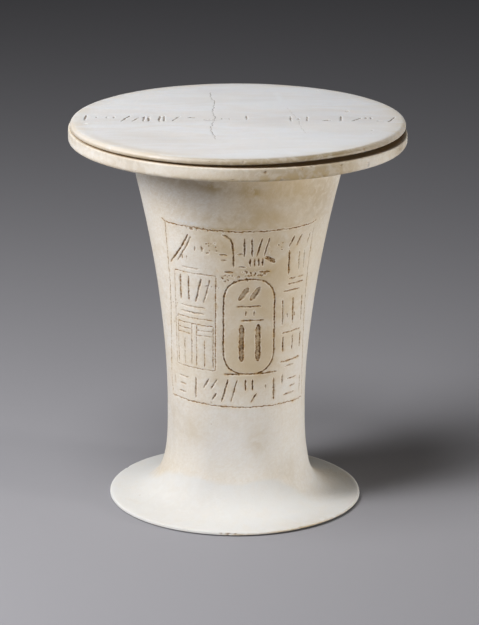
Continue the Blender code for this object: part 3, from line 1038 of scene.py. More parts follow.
def ramped(tree, value, low, high, first=0.0, last=1.0):
    """The value as a smooth step from low to high, giving first to last."""
    sockets = {"Value": value, "From Min": low, "From Max": high, "To Min": first, "To Max": last}
    return put(tree, "MapRange", sockets, interpolation_type="SMOOTHSTEP").outputs["Result"]


def ranged(tree, share, first, last):
    """A share from 0 to 1, made to run from first to last."""
    return ramped(tree, share, 0.0, 1.0, first, last)


def speckle(tree, place, scale, detail, **sockets):
    """Noise from 0 to 1 over the stone, with scale lumps to the metre."""
    sockets = {"Vector": place, "Scale": scale, "Detail": detail, **sockets}
    return put(tree, "TexNoise", sockets).outputs[0]


def laid_over(tree, share, under, over):
    """The colour over laid on the colour under, by the share."""
    sockets = {0: share, 6: under, 7: over}
    return put(tree, "Mix", sockets, data_type="RGBA", clamp_factor=True).outputs[2]


def mark(tree, name):
    """One of the marks stored on the piece's points."""
    return put(tree, "Attribute", attribute_name=name).outputs["Fac"]


def new_group(name, inputs, outputs):
    """An empty node group with these sockets, and its own input and output nodes."""
    tree = bpy.data.node_groups.new(name, "ShaderNodeTree")
    for label, kind, value in inputs:
        socket = tree.interface.new_socket(name=label, in_out="INPUT", socket_type="NodeSocket" + kind)
        socket.default_value = value
    for label in outputs:
        tree.interface.new_socket(name=label, in_out="OUTPUT", socket_type="NodeSocketFloat")
    return tree, tree.nodes.new("NodeGroupInput").outputs, tree.nodes.new("NodeGroupOutput").inputs


def clouded_stone():
    """Cloudy patches or, with one way stretched out, the streaks and bands of travertine."""
    tree, given, gives = new_group(
        "clouded_stone",
        (
            ("Place", "Vector", (0, 0, 0)),
            ("Stretch", "Vector", (1, 1, 1)),
            ("Size", "Float", 0.01),
            ("Wander", "Float", 0.6),
            ("Low", "Float", 0.35),
            ("High", "Float", 0.65),
        ),
        ("Share",),
    )
    stretched = put(tree, "VectorMath", {0: given["Place"], 1: given["Stretch"]}, operation="MULTIPLY")
    scale = maths(tree, "DIVIDE", 1.0, given["Size"])
    lumps = speckle(
        tree, stretched.outputs[0], scale, detail=4.0, Roughness=0.55, Distortion=given["Wander"]
    )
    tree.links.new(ramped(tree, lumps, given["Low"], given["High"]), gives["Share"])
    return tree


def dirt_in_cuts():
    """Old dirt: dark and crumbly along a cut's middle, brown to its lips, and rubbed out beside them.

    Inside is how far a place lies inside its cut, in millimetres, and Spread how far dirt is rubbed
    out. Lip is the bare stone just beside the cut.
    """
    tree, given, gives = new_group(
        "dirt_in_cuts",
        (
            ("Place", "Vector", (0, 0, 0)),
            ("Inside", "Float", 0.0),
            ("Dirt", "Float", 0.0),
            ("Spread", "Float", 0.9),
        ),
        ("Core", "Brown", "Rubbed", "Lip"),
    )
    inside = given["Inside"]
    crumbs = speckle(tree, given["Place"], 1300.0, detail=3.0)
    lumps = speckle(tree, given["Place"], 420.0, detail=2.0)
    smears = speckle(tree, given["Place"], 260.0, detail=2.0)

    floor = ramped(tree, inside, 0.45, 0.75, 1.0, 0.38)
    patchy = product(tree, ramped(tree, crumbs, 0.36, 0.58, 0.55, 1.0), floor)
    beads = ramped(tree, crumbs, 0.42, 0.56, 0.15, 1.0)
    core = product(tree, ramped(tree, inside, 0.06, 0.26), beads)
    caked = product(tree, ramped(tree, lumps, 0.36, 0.58, 0.35, 1.2), given["Dirt"])
    tree.links.new(product(tree, product(tree, core, caked), patchy), gives["Core"])

    brown = product(tree, ramped(tree, inside, -0.06, 0.16), ranged(tree, given["Dirt"], 0.30, 1.0))
    tree.links.new(product(tree, brown, patchy), gives["Brown"])

    reach = ramped(tree, inside, product(tree, given["Spread"], -1.0), 0.1)
    thin = product(tree, ramped(tree, smears, 0.38, 0.66), given["Dirt"])
    tree.links.new(product(tree, reach, thin), gives["Rubbed"])

    beside = product(tree, ramped(tree, inside, -0.42, -0.10), ramped(tree, lumps, 0.40, 0.56))
    outside = ramped(tree, inside, -0.02, 0.12, 1.0, 0.0)
    tree.links.new(product(tree, beside, outside), gives["Lip"])
    return tree


def small_pores():
    """Scattered round pores, a few tenths of a millimetre across."""
    tree, given, gives = new_group(
        "small_pores",
        (("Place", "Vector", (0, 0, 0)), ("Spacing", "Float", 0.004), ("Share", "Float", 0.2)),
        ("Pores",),
    )
    scale = maths(tree, "DIVIDE", 1.0, given["Spacing"])
    cells = put(tree, "TexVoronoi", {"Vector": given["Place"], "Scale": scale}).outputs
    chance = put(tree, "SeparateColor", {"Color": cells["Color"]}).outputs[0]
    size = ramped(tree, chance, 0.0, given["Share"], 0.13, 0.0)
    sockets = {"Value": cells["Distance"], "From Min": 0.0, "From Max": size, "To Min": 1.0, "To Max": 0.0}
    tree.links.new(put(tree, "MapRange", sockets).outputs["Result"], gives["Pores"])
    return tree


def rubbed_surface():
    """Heights of a rubbed stone: its fine grain, and the faint slanting marks left by the rubbing.

    The marks also come out by themselves, as Tooled.
    """
    tree, given, gives = new_group(
        "rubbed_surface",
        (("Place", "Vector", (0, 0, 0)), ("Marks", "Float", 0.5)),
        ("Height", "Tooled"),
    )
    grain = speckle(tree, given["Place"], 1900.0, detail=4.0)
    sockets = {"Vector": given["Place"], "Angle": math.radians(38)}
    slanted = put(tree, "VectorRotate", sockets, rotation_type="Y_AXIS").outputs[0]
    stretched = put(tree, "VectorMath", {0: slanted, 1: (1.0, 1.0, 2.6)}, operation="MULTIPLY").outputs[0]
    marks = ramped(tree, speckle(tree, stretched, 480.0, detail=2.0, Distortion=1.2), 0.34, 0.62)
    tooled = product(tree, marks, given["Marks"])
    tree.links.new(maths(tree, "ADD", grain, tooled), gives["Height"])
    tree.links.new(tooled, gives["Tooled"])
    return tree


CLOUDED_STONE = clouded_stone()
DIRT_IN_CUTS = dirt_in_cuts()
SMALL_PORES = small_pores()
RUBBED_SURFACE = rubbed_surface()

CREAM = (0.79, 0.730, 0.625, 1.0)
PALE_CREAM = (0.85, 0.815, 0.755, 1.0)
GREY_BEIGE = (0.66, 0.615, 0.55, 1.0)
HANDLED_TAN = (0.61, 0.495, 0.33, 1.0)
OCHRE = (0.48, 0.35, 0.16, 1.0)
CHALK_WHITE = (0.735, 0.740, 0.735, 1.0)
SHADE_UNDER_LID_BROWN = (0.30, 0.165, 0.045, 1.0)
SOIL = (0.300, 0.150, 0.026, 1.0)
DARK_SOIL = (0.080, 0.028, 0.002, 1.0)
RUBBED_OCHRE = (0.62, 0.41, 0.14, 1.0)
SOILED_AND_SHADED_TAN = (0.42, 0.36, 0.28, 1.0)
COOL_WHITE = (0.785, 0.780, 0.770, 1.0)

# How far light goes into travertine, as the shader's own values
LIGHT_IN_STONE = {
    "Subsurface Weight": 0.20,
    "Subsurface Radius": (1.0, 0.85, 0.7),
    "Subsurface Scale": 0.004,
}


def new_finish(name):
    """A material with its Principled shader, and the place on the piece that its patterns follow."""
    material = bpy.data.materials.new(name)
    material.use_nodes = True
    tree = material.node_tree
    shader = tree.nodes["Principled BSDF"]
    return material, tree, shader, put(tree, "TexCoord").outputs["Object"]


def clouds(tree, place, size, **sockets):
    """The share of cloudy patches of the given size, placed in a material."""
    return use(tree, CLOUDED_STONE, {"Place": place, "Size": size, **sockets})["Share"]


def cut_dirt(tree, place):
    """The dirt in the piece's cuts, from the marks stored on its points."""
    sockets = {"Place": place, "Inside": mark(tree, "inside_cut"), "Dirt": mark(tree, "cut_dirt")}
    return use(tree, DIRT_IN_CUTS, sockets)


def layered(tree, colour, layers):
    """The stone's colour with each layer laid over it in turn, by its share."""
    for share, over in layers:
        colour = laid_over(tree, share, colour, over)
    return colour


def jar_finish():
    """Cream travertine, paler in the foot, browned by handling under the rim and round the panel."""
    material, tree, shader, place = new_finish("jar_travertine")
    height = put(tree, "SeparateXYZ", {0: place}).outputs["Z"]
    wide = clouds(tree, place, 0.030, Stretch=(1, 1, 1.4))
    small = clouds(tree, place, 0.006, Low=0.4, High=0.7)
    specks = clouds(tree, place, 0.0011, Low=0.42, High=0.68)
    streaks = clouds(tree, place, 0.0016, Stretch=(1, 1, 0.06), Wander=0.9)
    drifts = clouds(tree, place, 0.012, Low=0.50, High=0.66)
    blotches = clouds(tree, place, 0.0032, Low=0.30, High=0.64)
    pores = use(tree, SMALL_PORES, {"Place": place, "Spacing": 0.0045, "Share": 0.16})["Pores"]
    surface = use(tree, RUBBED_SURFACE, {"Place": place, "Marks": 0.5})
    dirt = cut_dirt(tree, place)

    low_body = ramped(tree, height, 0.075, 0.035, 0.08, 0.24)
    neck = ramped(tree, height, 0.100, 0.116, 0.22, 0.50)
    neck = maths(tree, "SUBTRACT", neck, ramped(tree, height, 0.130, 0.138, 0.0, 0.30))
    cool = maths(tree, "MAXIMUM", product(tree, drifts, 0.35), mark(tree, "cool"))
    # The foot's pale zone, partly painted light where it faces the light
    pale = product(tree, mark(tree, "pale_stone_and_painted_light"), ranged(tree, small, 0.95, 0.8))
    layers = (
        (product(tree, streaks, low_body), GREY_BEIGE),
        (product(tree, small, 0.22), HANDLED_TAN),
        (product(tree, specks, 0.30), HANDLED_TAN),
        (product(tree, mark(tree, "handled"), ranged(tree, wide, 0.95, 0.6)), HANDLED_TAN),
        (cool, COOL_WHITE),
        (product(tree, surface["Tooled"], neck), HANDLED_TAN),
        (pale, CHALK_WHITE),
        (product(tree, mark(tree, "in_ring"), 0.24), HANDLED_TAN),
        # Dulled places, partly painted shade
        (product(tree, mark(tree, "soiled_and_shaded"), ranged(tree, blotches, 0.80, 1.2)), SOILED_AND_SHADED_TAN),
        # Stains, with painted contact shade at the foot's lower edge and painted glow under the rim
        (product(tree, mark(tree, "stain_and_shade"), ranged(tree, blotches, 0.45, 1.0)), OCHRE),
        # Painted shade on the rim's top, seen in the gap under the lid
        (mark(tree, "shade_under_lid"), SHADE_UNDER_LID_BROWN),
        (product(tree, pores, 0.55), SOIL),
        (product(tree, dirt["Rubbed"], 0.46), RUBBED_OCHRE),
        (product(tree, dirt["Lip"], 0.55), PALE_CREAM),
        (product(tree, mark(tree, "bruised"), ranged(tree, specks, 1.0, 0.3)), CHALK_WHITE),
        (product(tree, mark(tree, "chip_dirt"), ranged(tree, specks, 0.3, 1.0)), SOIL),
        (dirt["Brown"], SOIL),
        (dirt["Core"], DARK_SOIL),
    )
    dull = maths(tree, "ADD", product(tree, dirt["Brown"], 0.55), product(tree, pale, 0.25))
    bump = maths(tree, "SUBTRACT", surface["Height"], product(tree, pores, 2.0))
    sockets = {
        "Base Color": layered(tree, laid_over(tree, wide, CREAM, PALE_CREAM), layers),
        "Roughness": maths(tree, "ADD", ranged(tree, small, 0.42, 0.52), dull),
        "Specular IOR Level": 0.22,
        "Normal": put(tree, "Bump", {"Strength": 0.35, "Distance": 0.00010, "Height": bump}).outputs[0],
    }
    plug_in(tree, shader, {**sockets, **LIGHT_IN_STONE})
    return material


jar.data.materials.append(jar_finish())
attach(jar, "root")
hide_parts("jar")


# Lid
# A thin flat disc sawn from whiter, finely streaked travertine, with a low boss under it that drops
# into the mouth. It is cracked, carries one row of strokes on its top, and lies loose on the rim.
LID_RADIUS = RIM_RADIUS - 0.0007
LID_THICKNESS = 0.00215
LID_UPPER_ROUND = 0.0017
LID_LOWER_ROUND = 0.0003
BOSS_CLEARANCE = 0.0014
BOSS_DEPTH = 0.0025
BOSS_ROUND = 0.0006
BOSS_RADIUS = MOUTH_RADIUS - BOSS_CLEARANCE
LID_LEAN = (math.radians(-0.20), math.radians(-0.42))
RESTING_GAP = 0.00015

# The lower edge is worn away most at the front right: height, middle and spread, and where it is worn
LID_WEAR = 0.00038
LID_WEAR_AT = math.radians(26)
LID_WEAR_SPREAD = math.radians(24)
LID_WEAR_BAND = (0.006, 0.0)
LID_WEAR_HEIGHTS = (0.0003, LID_THICKNESS - 0.0002)

# Fineness of the top's grid, and of the splitting near a mark: more on larger faces
LID_CELLS = 56
LID_FINE_TIMES = 3
LID_FINE_SHARE = 0.25
LID_TOP_SKIN = 0.0002

# The lid's map: the top's corner and side, and where the edge's rings start above it
LID_MAP_CORNER = 0.02
LID_MAP_SIDE = 0.78
LID_MAP_EDGE = 0.81

# The row of strokes: half width, depth, how they vary and slope, the row's length, height, how far its
# dulling spreads and its place, and the bars, which lie level in it and are wider
LID_SEED = 17
LID_STROKE_HALF = 0.00042
LID_STROKE_DEPTH = 0.00026
LID_STROKE_WIDTHS = (0.75, 1.2)
LID_STROKE_WANDER = 0.0003
LID_CUT_SLOPE = 0.8 * CUT_SLOPE
LID_ROW_SPAN = 2 * (LID_RADIUS - 0.0047)
LID_ROW_HEIGHT = 0.0105
LID_ROW_SPREAD = 0.75 * LID_ROW_HEIGHT
LID_ROW_FORWARD = 0.0045
LID_BAR_WIDENING = 1.5

# Strokes along the row: left, right, foot and height in hundredths of the row, dirt, cuts
LID_ROWS = (
    (-0.5, 2, 25, 75, 0.9, "upright"),
    (3, 5.5, 40, 60, 0.8, "tick"),
    (6.5, 11, 25, 90, 0.75, "tick tick"),
    (12, 15.5, 10, 85, 0.9, "lean"),
    (15.5, 18.5, 10, 60, 0.8, "lean"),
    (19, 22, 10, 75, 0.8, "upright upright"),
    (24, 27, 10, 80, 0.8, "upright upright"),
    (28.5, 31.5, 20, 65, 0.8, "lean"),
    (33.5, 37, 70, 0, 1.0, "bar"),
    (38.5, 42.5, 35, 0, 1.0, "bar"),
    (43.5, 48.5, 20, 60, 0.8, "tick tick"),
    (51.5, 54, 40, 60, 0.9, "upright"),
    (66, 68, 15, 75, 0.9, "upright"),
    (68.6, 70.6, 20, 60, 0.8, "tick"),
    (71.2, 73.4, 15, 70, 0.9, "upright"),
    (77, 80, 30, 0, 1.0, "bar"),
    (82, 84.5, 20, 70, 0.8, "upright"),
    (86, 90.5, 20, 50, 0.8, "lean"),
    (90.5, 93.5, 25, 80, 0.8, "tick tick"),
    (94.5, 97, 20, 0, 0.9, "bar"),
    (98, 101, 5, 75, 0.9, "lean"),
)

# The crack from near the back edge towards the front, then a hairline beside it and one that meets
# it: their places, and how long, how even and how far aside the jumps of a crack are
CRACK = (
    (-0.0106, 0.0440), (-0.0105, 0.0366), (-0.0088, 0.0284), (-0.0091, 0.0193), (-0.0096, 0.0133),
    (-0.0085, 0.0035), (-0.0087, -0.0023), (-0.0098, -0.0138), (-0.0093, -0.0213), (-0.0082, -0.0269),
    (-0.0077, -0.0310),
)
HAIRLINES = (
    ((0.0182, 0.0190), (0.0203, 0.0093), (0.0219, -0.0002), (0.0230, -0.0114), (0.0243, -0.0215)),
    ((-0.0160, -0.0020), (-0.0120, -0.0012), (-0.0074, -0.0014), (-0.0025, 0.0026)),
)
CRACK_STEP = 0.0013
CRACK_UNEVEN = 0.3
CRACK_JUMP = 0.00032
CRACK_WANDER = 0.0001
CRACK_SLOPE = (-0.00004, 0.00012)

# Half width, depth and dirt of the crack and of the hairlines
CRACK_CUT = (0.00012, 0.00018, 0.8)
HAIRLINE_CUT = (0.00009, 0.00010, 0.4)

# A pale scratch at the back right: its path, how ragged it is, and where it fades on both sides
LID_SCAR = ((0.0138, 0.0450), (0.0150, 0.0390), (0.0163, 0.0290))
LID_SCAR_RAGGED = 0.0008
LID_SCAR_FADE = (0.0002, 0.0016)

# Pits on the top: across, along, radius, dirt. Then chips round the edge: degrees, radius, depth, dirt
LID_PIT_DEPTH = 0.5
LID_PITS = (
    (0.0405, 0.0133, 0.00075, 0.9), (0.0485, -0.0167, 0.00050, 0.7), (0.0481, -0.0222, 0.00040, 0.5),
    (-0.0556, -0.0075, 0.00060, 0.8), (0.0300, 0.0480, 0.00040, 0.4), (-0.0410, -0.0300, 0.00035, 0.5),
)
LID_EDGE_CHIPS = (
    (2, 0.0006, 0.00022, 0.7), (6, 0.0004, 0.00018, 0.7), (-9, 0.0005, 0.00018, 0.4),
    (19, 0.0004, 0.00018, 0.7), (47, 0.0007, 0.00025, 0.8), (64, 0.0005, 0.00020, 0.5),
    (-47, 0.0006, 0.00018, 0.3), (-93, 0.0007, 0.00022, 0.5), (168, 0.0009, 0.00025, 0.3),
)
LID_CHIP_HEIGHT = 0.6 * LID_THICKNESS
LID_CHIP_NOISE = (0.0004, 8)

# Hand grinding: depth, length and seed of its waves and its ripples
LID_WAVES = (0.00006, 0.020, 6)
LID_RIPPLES = (0.000015, 0.0030, 7)

# How far in from the lid's edge each mark begins, and where it is full
NEAR_EDGE_BAND = (0.0085, 0.0004)
EDGE_STAIN_AND_SHADE_BAND = (0.0024, 0.0010)
EDGE_SOILING_AND_SHADE_BAND = (0.0019, 0.0007)
EDGE_HIGHLIGHT_BAND = (0.0015, 0.0006)

# Dirt on the edge, with painted shade that dims it most at the front left, by degrees round
LID_EDGE_SOILING_AND_SHADE = (
    (-180, 0.30), (-90, 0.60), (-30, 0.85), (0, 0.60), (40, 0.60), (90, 0.40), (180, 0.30),
)

# Round the back, and a little on the left, the edge's upper half is rubbed clean, by degrees round, and has
# a highlight painted on it where it is cleanest
LID_EDGE_RUBBED_AND_HIGHLIGHT = (
    (-180, 1.0), (-100, 1.0), (-84, 0.25), (-70, 0.25), (-40, 0.40), (-22, 0.20), (-8, 0.0), (84, 0.0),
    (96, 1.0), (180, 1.0),
)
LID_RUBBED_AND_HIGHLIGHT_HEIGHTS = (0.0006, 0.0013)

# A dull ring inside the edge, at the front left: how far in, half width, strength, middle and spread
LID_DULL_RING = 0.0040
LID_DULL_RING_HALF = 0.0022
LID_DULL_RING_SHARE = 0.24
LID_DULL_RING_AT = math.radians(-48)
LID_DULL_RING_SPREAD = math.radians(34)

# Dulled and clear places on the lid's top: across, along, half width, half length, strength
LID_DULL_PATCHES = (
    (-0.0420, -0.0260, 0.0200, 0.0200, 0.17),
    (-0.0240, -0.0400, 0.0160, 0.0120, 0.10),
)
LID_CLEAR_PATCHES = (
    (0.0280, -0.0330, 0.0280, 0.0200, 0.45),
    (0.0020, 0.0360, 0.0300, 0.0160, 0.30),
    (-0.0340, 0.0300, 0.0160, 0.0120, 0.25),
)

# Brown stains on the edge, partly painted shade where it turns from the light at the front right: degrees
# round, height, half width, half height, strength
LID_EDGE_STAINS_AND_SHADE = (
    (5, 0.0002, 0.0240, 0.0026, 0.95),
    (31, 0.0009, 0.0200, 0.0036, 1.00),
    (58, 0.0006, 0.0120, 0.0018, 0.60),
    (-30, 0.0002, 0.0200, 0.0009, 0.75),
    (-62, 0.0000, 0.0180, 0.0006, 0.60),
    (150, 0.0006, 0.0300, 0.0014, 0.45),
)


def lid_section():
    """Rings from the edge of the flat top, round the edge and under the lid, to the boss's middle."""
    low = LID_LOWER_ROUND
    high = LID_UPPER_ROUND
    small = BOSS_ROUND
    rows = rounded((LID_RADIUS - high, LID_THICKNESS - high), high, 90, 0, steps=6)
    rows += rounded((LID_RADIUS - low, low), low, 0, -90, steps=3)
    rows += between((LID_RADIUS - low, 0.0), (BOSS_RADIUS, 0.0), steps=10) + [(BOSS_RADIUS, 0.0)]
    rows += rounded((BOSS_RADIUS - small, small - BOSS_DEPTH), small, 0, -90, steps=3)
    rows += between((BOSS_RADIUS - small, -BOSS_DEPTH), (0.0, -BOSS_DEPTH), steps=8)
    return rows + [(0.0, -BOSS_DEPTH)]


def disc_point(u, v):
    """A place on the flat top, from one on a square that runs from -1 to 1 both ways."""
    flat = LID_RADIUS - LID_UPPER_ROUND
    return flat * u * math.sqrt(1 - 0.5 * v * v), flat * v * math.sqrt(1 - 0.5 * u * u), LID_THICKNESS


def sawn_lid():
    """The lid's plain surface: a square grid drawn out to a disc on top, and rings from its edge on."""
    mesh = bmesh.new()
    layer = mesh.loops.layers.uv.new("OFBake")
    steps = np.linspace(-1.0, 1.0, LID_CELLS + 1)
    grid = [[mesh.verts.new(disc_point(u, v)) for u in steps] for v in steps]
    for j in range(LID_CELLS):
        for i in range(LID_CELLS):
            corners = ((i, j), (i + 1, j), (i + 1, j + 1), (i, j + 1))
            face = mesh.faces.new([grid[row][column] for column, row in corners])
            for loop, corner in zip(face.loops, corners):
                loop[layer].uv = [LID_MAP_CORNER + LID_MAP_SIDE * step / LID_CELLS for step in corner]
    lower, upper = grid[0][:-1], grid[-1][:0:-1]
    right, left = [row[-1] for row in grid[:-1]], [row[0] for row in grid[:0:-1]]
    edge = lower + right + upper + left
    angles = [math.atan2(vert.co.x, -vert.co.y) for vert in edge]
    rings = [edge]
    for radius, height in lid_section()[1:]:
        if radius == 0.0:
            rings.append([mesh.verts.new((0.0, 0.0, height))])
            continue
        rings.append([mesh.verts.new(point_at(angle, radius, height)) for angle in angles])
    across = np.linspace(MAP_MARGIN, 1 - MAP_MARGIN, len(edge) + 1)
    heights = np.linspace(LID_MAP_EDGE, 1 - MAP_MARGIN, len(rings))
    for i in range(len(rings) - 1):
        add_band(mesh, layer, rings[i], rings[i + 1], across, heights[i : i + 2])
    return mesh


def jagged(path, chance):
    """The path of a crack, which jumps a little to either side every millimetre or so."""
    points = []
    for (x0, y0), (x1, y1) in zip(path, path[1:]):
        steps = max(2, round(math.hypot(x1 - x0, y1 - y0) / CRACK_STEP))
        for i in range(steps):
            share = (i + chance.uniform(-CRACK_UNEVEN, CRACK_UNEVEN)) / steps
            aside = chance.uniform(-CRACK_JUMP, CRACK_JUMP)
            points.append((x0 + (x1 - x0) * share + aside, y0 + (y1 - y0) * share))
    return points + [path[-1]]


def lid_cuts():
    """Every touch on the lid's top: the strokes and pits, and apart from them the cracks."""
    chance = np.random.default_rng(LID_SEED)
    strokes = []
    for row in LID_ROWS:
        for path in row_paths(row, -0.5 * LID_ROW_SPAN, -LID_ROW_FORWARD, LID_ROW_SPAN, LID_ROW_HEIGHT):
            half = LID_STROKE_HALF * chance.uniform(*LID_STROKE_WIDTHS)
            if row[3] == 0:
                half *= LID_BAR_WIDENING
            cut = hand_cut(path, half, LID_STROKE_DEPTH, row[4], chance, wander=LID_STROKE_WANDER)
            strokes.append(cut)
    for across, up, size, dirt in LID_PITS:
        strokes.append(np.array([[across, up, size, LID_PIT_DEPTH * size, dirt]]))
    cracks = [hand_cut(jagged(CRACK, chance), *CRACK_CUT, chance, wander=CRACK_WANDER)]
    for path in HAIRLINES:
        cracks.append(hand_cut(jagged(path, chance), *HAIRLINE_CUT, chance, wander=CRACK_WANDER))
    return np.vstack(strokes), np.vstack(cracks)


def spots(points, places):
    """Soft round spots on the lid's top, each at its place, added up and kept under 1."""
    clear = np.ones(len(points))
    for x, y, wide, long, strength in places:
        away = ((points[:, 0] - x) / wide) ** 2 + ((points[:, 1] - y) / long) ** 2
        clear *= 1.0 - strength * np.exp(-away)
    return 1.0 - clear


def lid_chips():
    """The chips round the lid's edge: place, radius, depth and dirt of each."""
    chips = []
    for degrees, reach, depth, soil in LID_EDGE_CHIPS:
        place = point_at(math.radians(degrees), LID_RADIUS, LID_CHIP_HEIGHT)
        chips.append((Vector(place), reach, depth, soil))
    return chips


def near_lid_mark(face, stroke_tree, strokes, crack_tree, chips):
    """Whether a face lies near a stroke or a crack on the top, or near a chip on the edge."""
    middle = face.calc_center_median()
    if middle.z < 0.0:
        return False
    reach = FINE_REACH + LID_FINE_SHARE * math.sqrt(face.calc_area())
    if middle.z <= LID_THICKNESS - LID_TOP_SKIN:
        return any((middle - place).length < size + reach for place, size, _, _ in chips)
    _, touch, away = stroke_tree.find((middle.x, middle.y, 0.0))
    return away < strokes[touch][2] + reach or crack_tree.find((middle.x, middle.y, 0.0))[2] < reach


def towards_edge(radii, band):
    """0 further in than the band on the lid, and 1 from its outer side on."""
    return eased(radii, LID_RADIUS - band[0], LID_RADIUS - band[1])


def scarred(points, ragged):
    """1 along the pale scratch, fading on both sides of it."""
    white_marks = np.zeros(len(points))
    for start, end in zip(LID_SCAR, LID_SCAR[1:]):
        way = np.subtract(end, start)
        along = np.clip(((points[:, :2] - start) @ way) / (way @ way), 0.0, 1.0)
        away = np.hypot(*(points[:, :2] - start - along[:, None] * way).T)
        white_marks = np.maximum(white_marks, 1.0 - eased(away + LID_SCAR_RAGGED * ragged, *LID_SCAR_FADE))
    return white_marks


def lid_marks(points, angles, radii, on_top, ragged):
    """The stains, dirt, rubbed places, painted shade and painted highlight that the lid's finish reads, by
    name.
    """
    heights = points[:, 2]
    rubbed_and_highlight = np.interp(np.degrees(angles), *zip(*LID_EDGE_RUBBED_AND_HIGHLIGHT)) * eased(heights, *LID_RUBBED_AND_HIGHLIGHT_HEIGHTS)
    pale = np.maximum(scarred(points, ragged), spots(points, LID_CLEAR_PATCHES)) * on_top
    soiling_and_shade = np.interp(np.degrees(angles), *zip(*LID_EDGE_SOILING_AND_SHADE)) * (1.0 - rubbed_and_highlight)
    dull_ring = np.exp(-(((radii - LID_RADIUS + LID_DULL_RING) / LID_DULL_RING_HALF) ** 2))
    dull_ring *= LID_DULL_RING_SHARE * facing(angles, LID_DULL_RING_AT, LID_DULL_RING_SPREAD)
    dulled = np.maximum(spots(points, LID_DULL_PATCHES), dull_ring) * on_top
    row_middle = 0.5 * LID_ROW_HEIGHT - LID_ROW_FORWARD
    stain_and_shade = patches(angles, heights, radii, LID_EDGE_STAINS_AND_SHADE)
    return {
        # Pale scratch and clear patches, with a highlight painted on the rubbed edge
        "white_marks": np.maximum(pale, rubbed_and_highlight**3 * towards_edge(radii, EDGE_HIGHLIGHT_BAND)),
        "row": np.exp(-(((points[:, 1] - row_middle) / LID_ROW_SPREAD) ** 2)),
        "near_edge": towards_edge(radii, NEAR_EDGE_BAND),
        # Stains on the edge, partly painted shade at the front right
        "stain_and_shade": stain_and_shade * towards_edge(radii, EDGE_STAIN_AND_SHADE_BAND),
        # Dirt, and painted shade that dims the edge at the front left
        "soiled_and_shaded": np.maximum(soiling_and_shade * towards_edge(radii, EDGE_SOILING_AND_SHADE_BAND), dulled),
    }


def worn_lid():
    """The lid with its strokes, cracks, chipped edge and wear, before it is laid on the rim."""
    strokes, cracks = lid_cuts()
    stroke_tree = tree_of(strokes)
    crack_tree = tree_of(cracks)
    chips = lid_chips()
    mesh = sawn_lid()
    marks = (stroke_tree, strokes, crack_tree, chips)
    split_near(mesh, lambda face: near_lid_mark(face, *marks), LID_FINE_TIMES)
    lid = piece_from(mesh, "travertine_lid")
    points, normals = points_of(lid.data)
    angles, radii = round_places(points)
    on_top = points[:, 2] > LID_THICKNESS - LID_TOP_SKIN

    inside, deep, dirt = nearest_cuts(stroke_tree, strokes, points[:, :2], on_top)
    cracked, crack_deep, crack_dirt = nearest_cuts(crack_tree, cracks, points[:, :2], on_top)
    ragged = roughness_of(points, *LID_CHIP_NOISE)
    chipped, chip_dirt = knocked_out(points, chips, ragged)
    carved = deep * eased(inside, 0.0, LID_CUT_SLOPE) + crack_deep * eased(cracked, *CRACK_SLOPE)
    waves = ground_by_hand(points, *LID_WAVES) * (points[:, 2] > 0.0)
    ripples = ground_by_hand(points, *LID_RIPPLES) * on_top
    points = points - normals * (carved + chipped + waves + ripples)[:, None]
    worn = facing(angles, LID_WEAR_AT, LID_WEAR_SPREAD) * towards_edge(radii, LID_WEAR_BAND)
    points[:, 2] += LID_WEAR * worn * (1.0 - eased(points[:, 2], *LID_WEAR_HEIGHTS))
    lid.data.vertices.foreach_set("co", points.ravel())

    store(lid.data, inside_cut=inside * MILLIMETRES, cut_dirt=dirt, chip_dirt=chip_dirt)
    store(lid.data, inside_crack=cracked * MILLIMETRES, crack_dirt=crack_dirt)
    store(lid.data, **lid_marks(points, angles, radii, on_top, ragged))
    return lid


def lay_on_rim(lid):
    """Leans the lid and sets it down on the rim."""
    drop = LID_RADIUS * math.sin(math.hypot(*LID_LEAN))
    lean = Euler((*LID_LEAN, 0.0)).to_matrix().to_4x4()
    lid.data.transform(Matrix.Translation((0.0, 0.0, TOP_OF_RIM + RESTING_GAP + drop)) @ lean)
    lid.data.update()


lid = worn_lid()
lay_on_rim(lid)

LID_WHITE = (0.785, 0.775, 0.772, 1.0)
LID_BLUE_WHITE = (0.845, 0.860, 0.890, 1.0)
LID_GREY = (0.69, 0.665, 0.645, 1.0)
LID_CREAM = (0.71, 0.66, 0.58, 1.0)
SCAR_AND_HIGHLIGHT_WHITE = (0.86, 0.88, 0.90, 1.0)
EDGE_OCHRE = (0.27, 0.21, 0.120, 1.0)
STROKE_GREY = (0.26, 0.19, 0.13, 1.0)
CRACK_GREY = (0.16, 0.125, 0.10, 1.0)


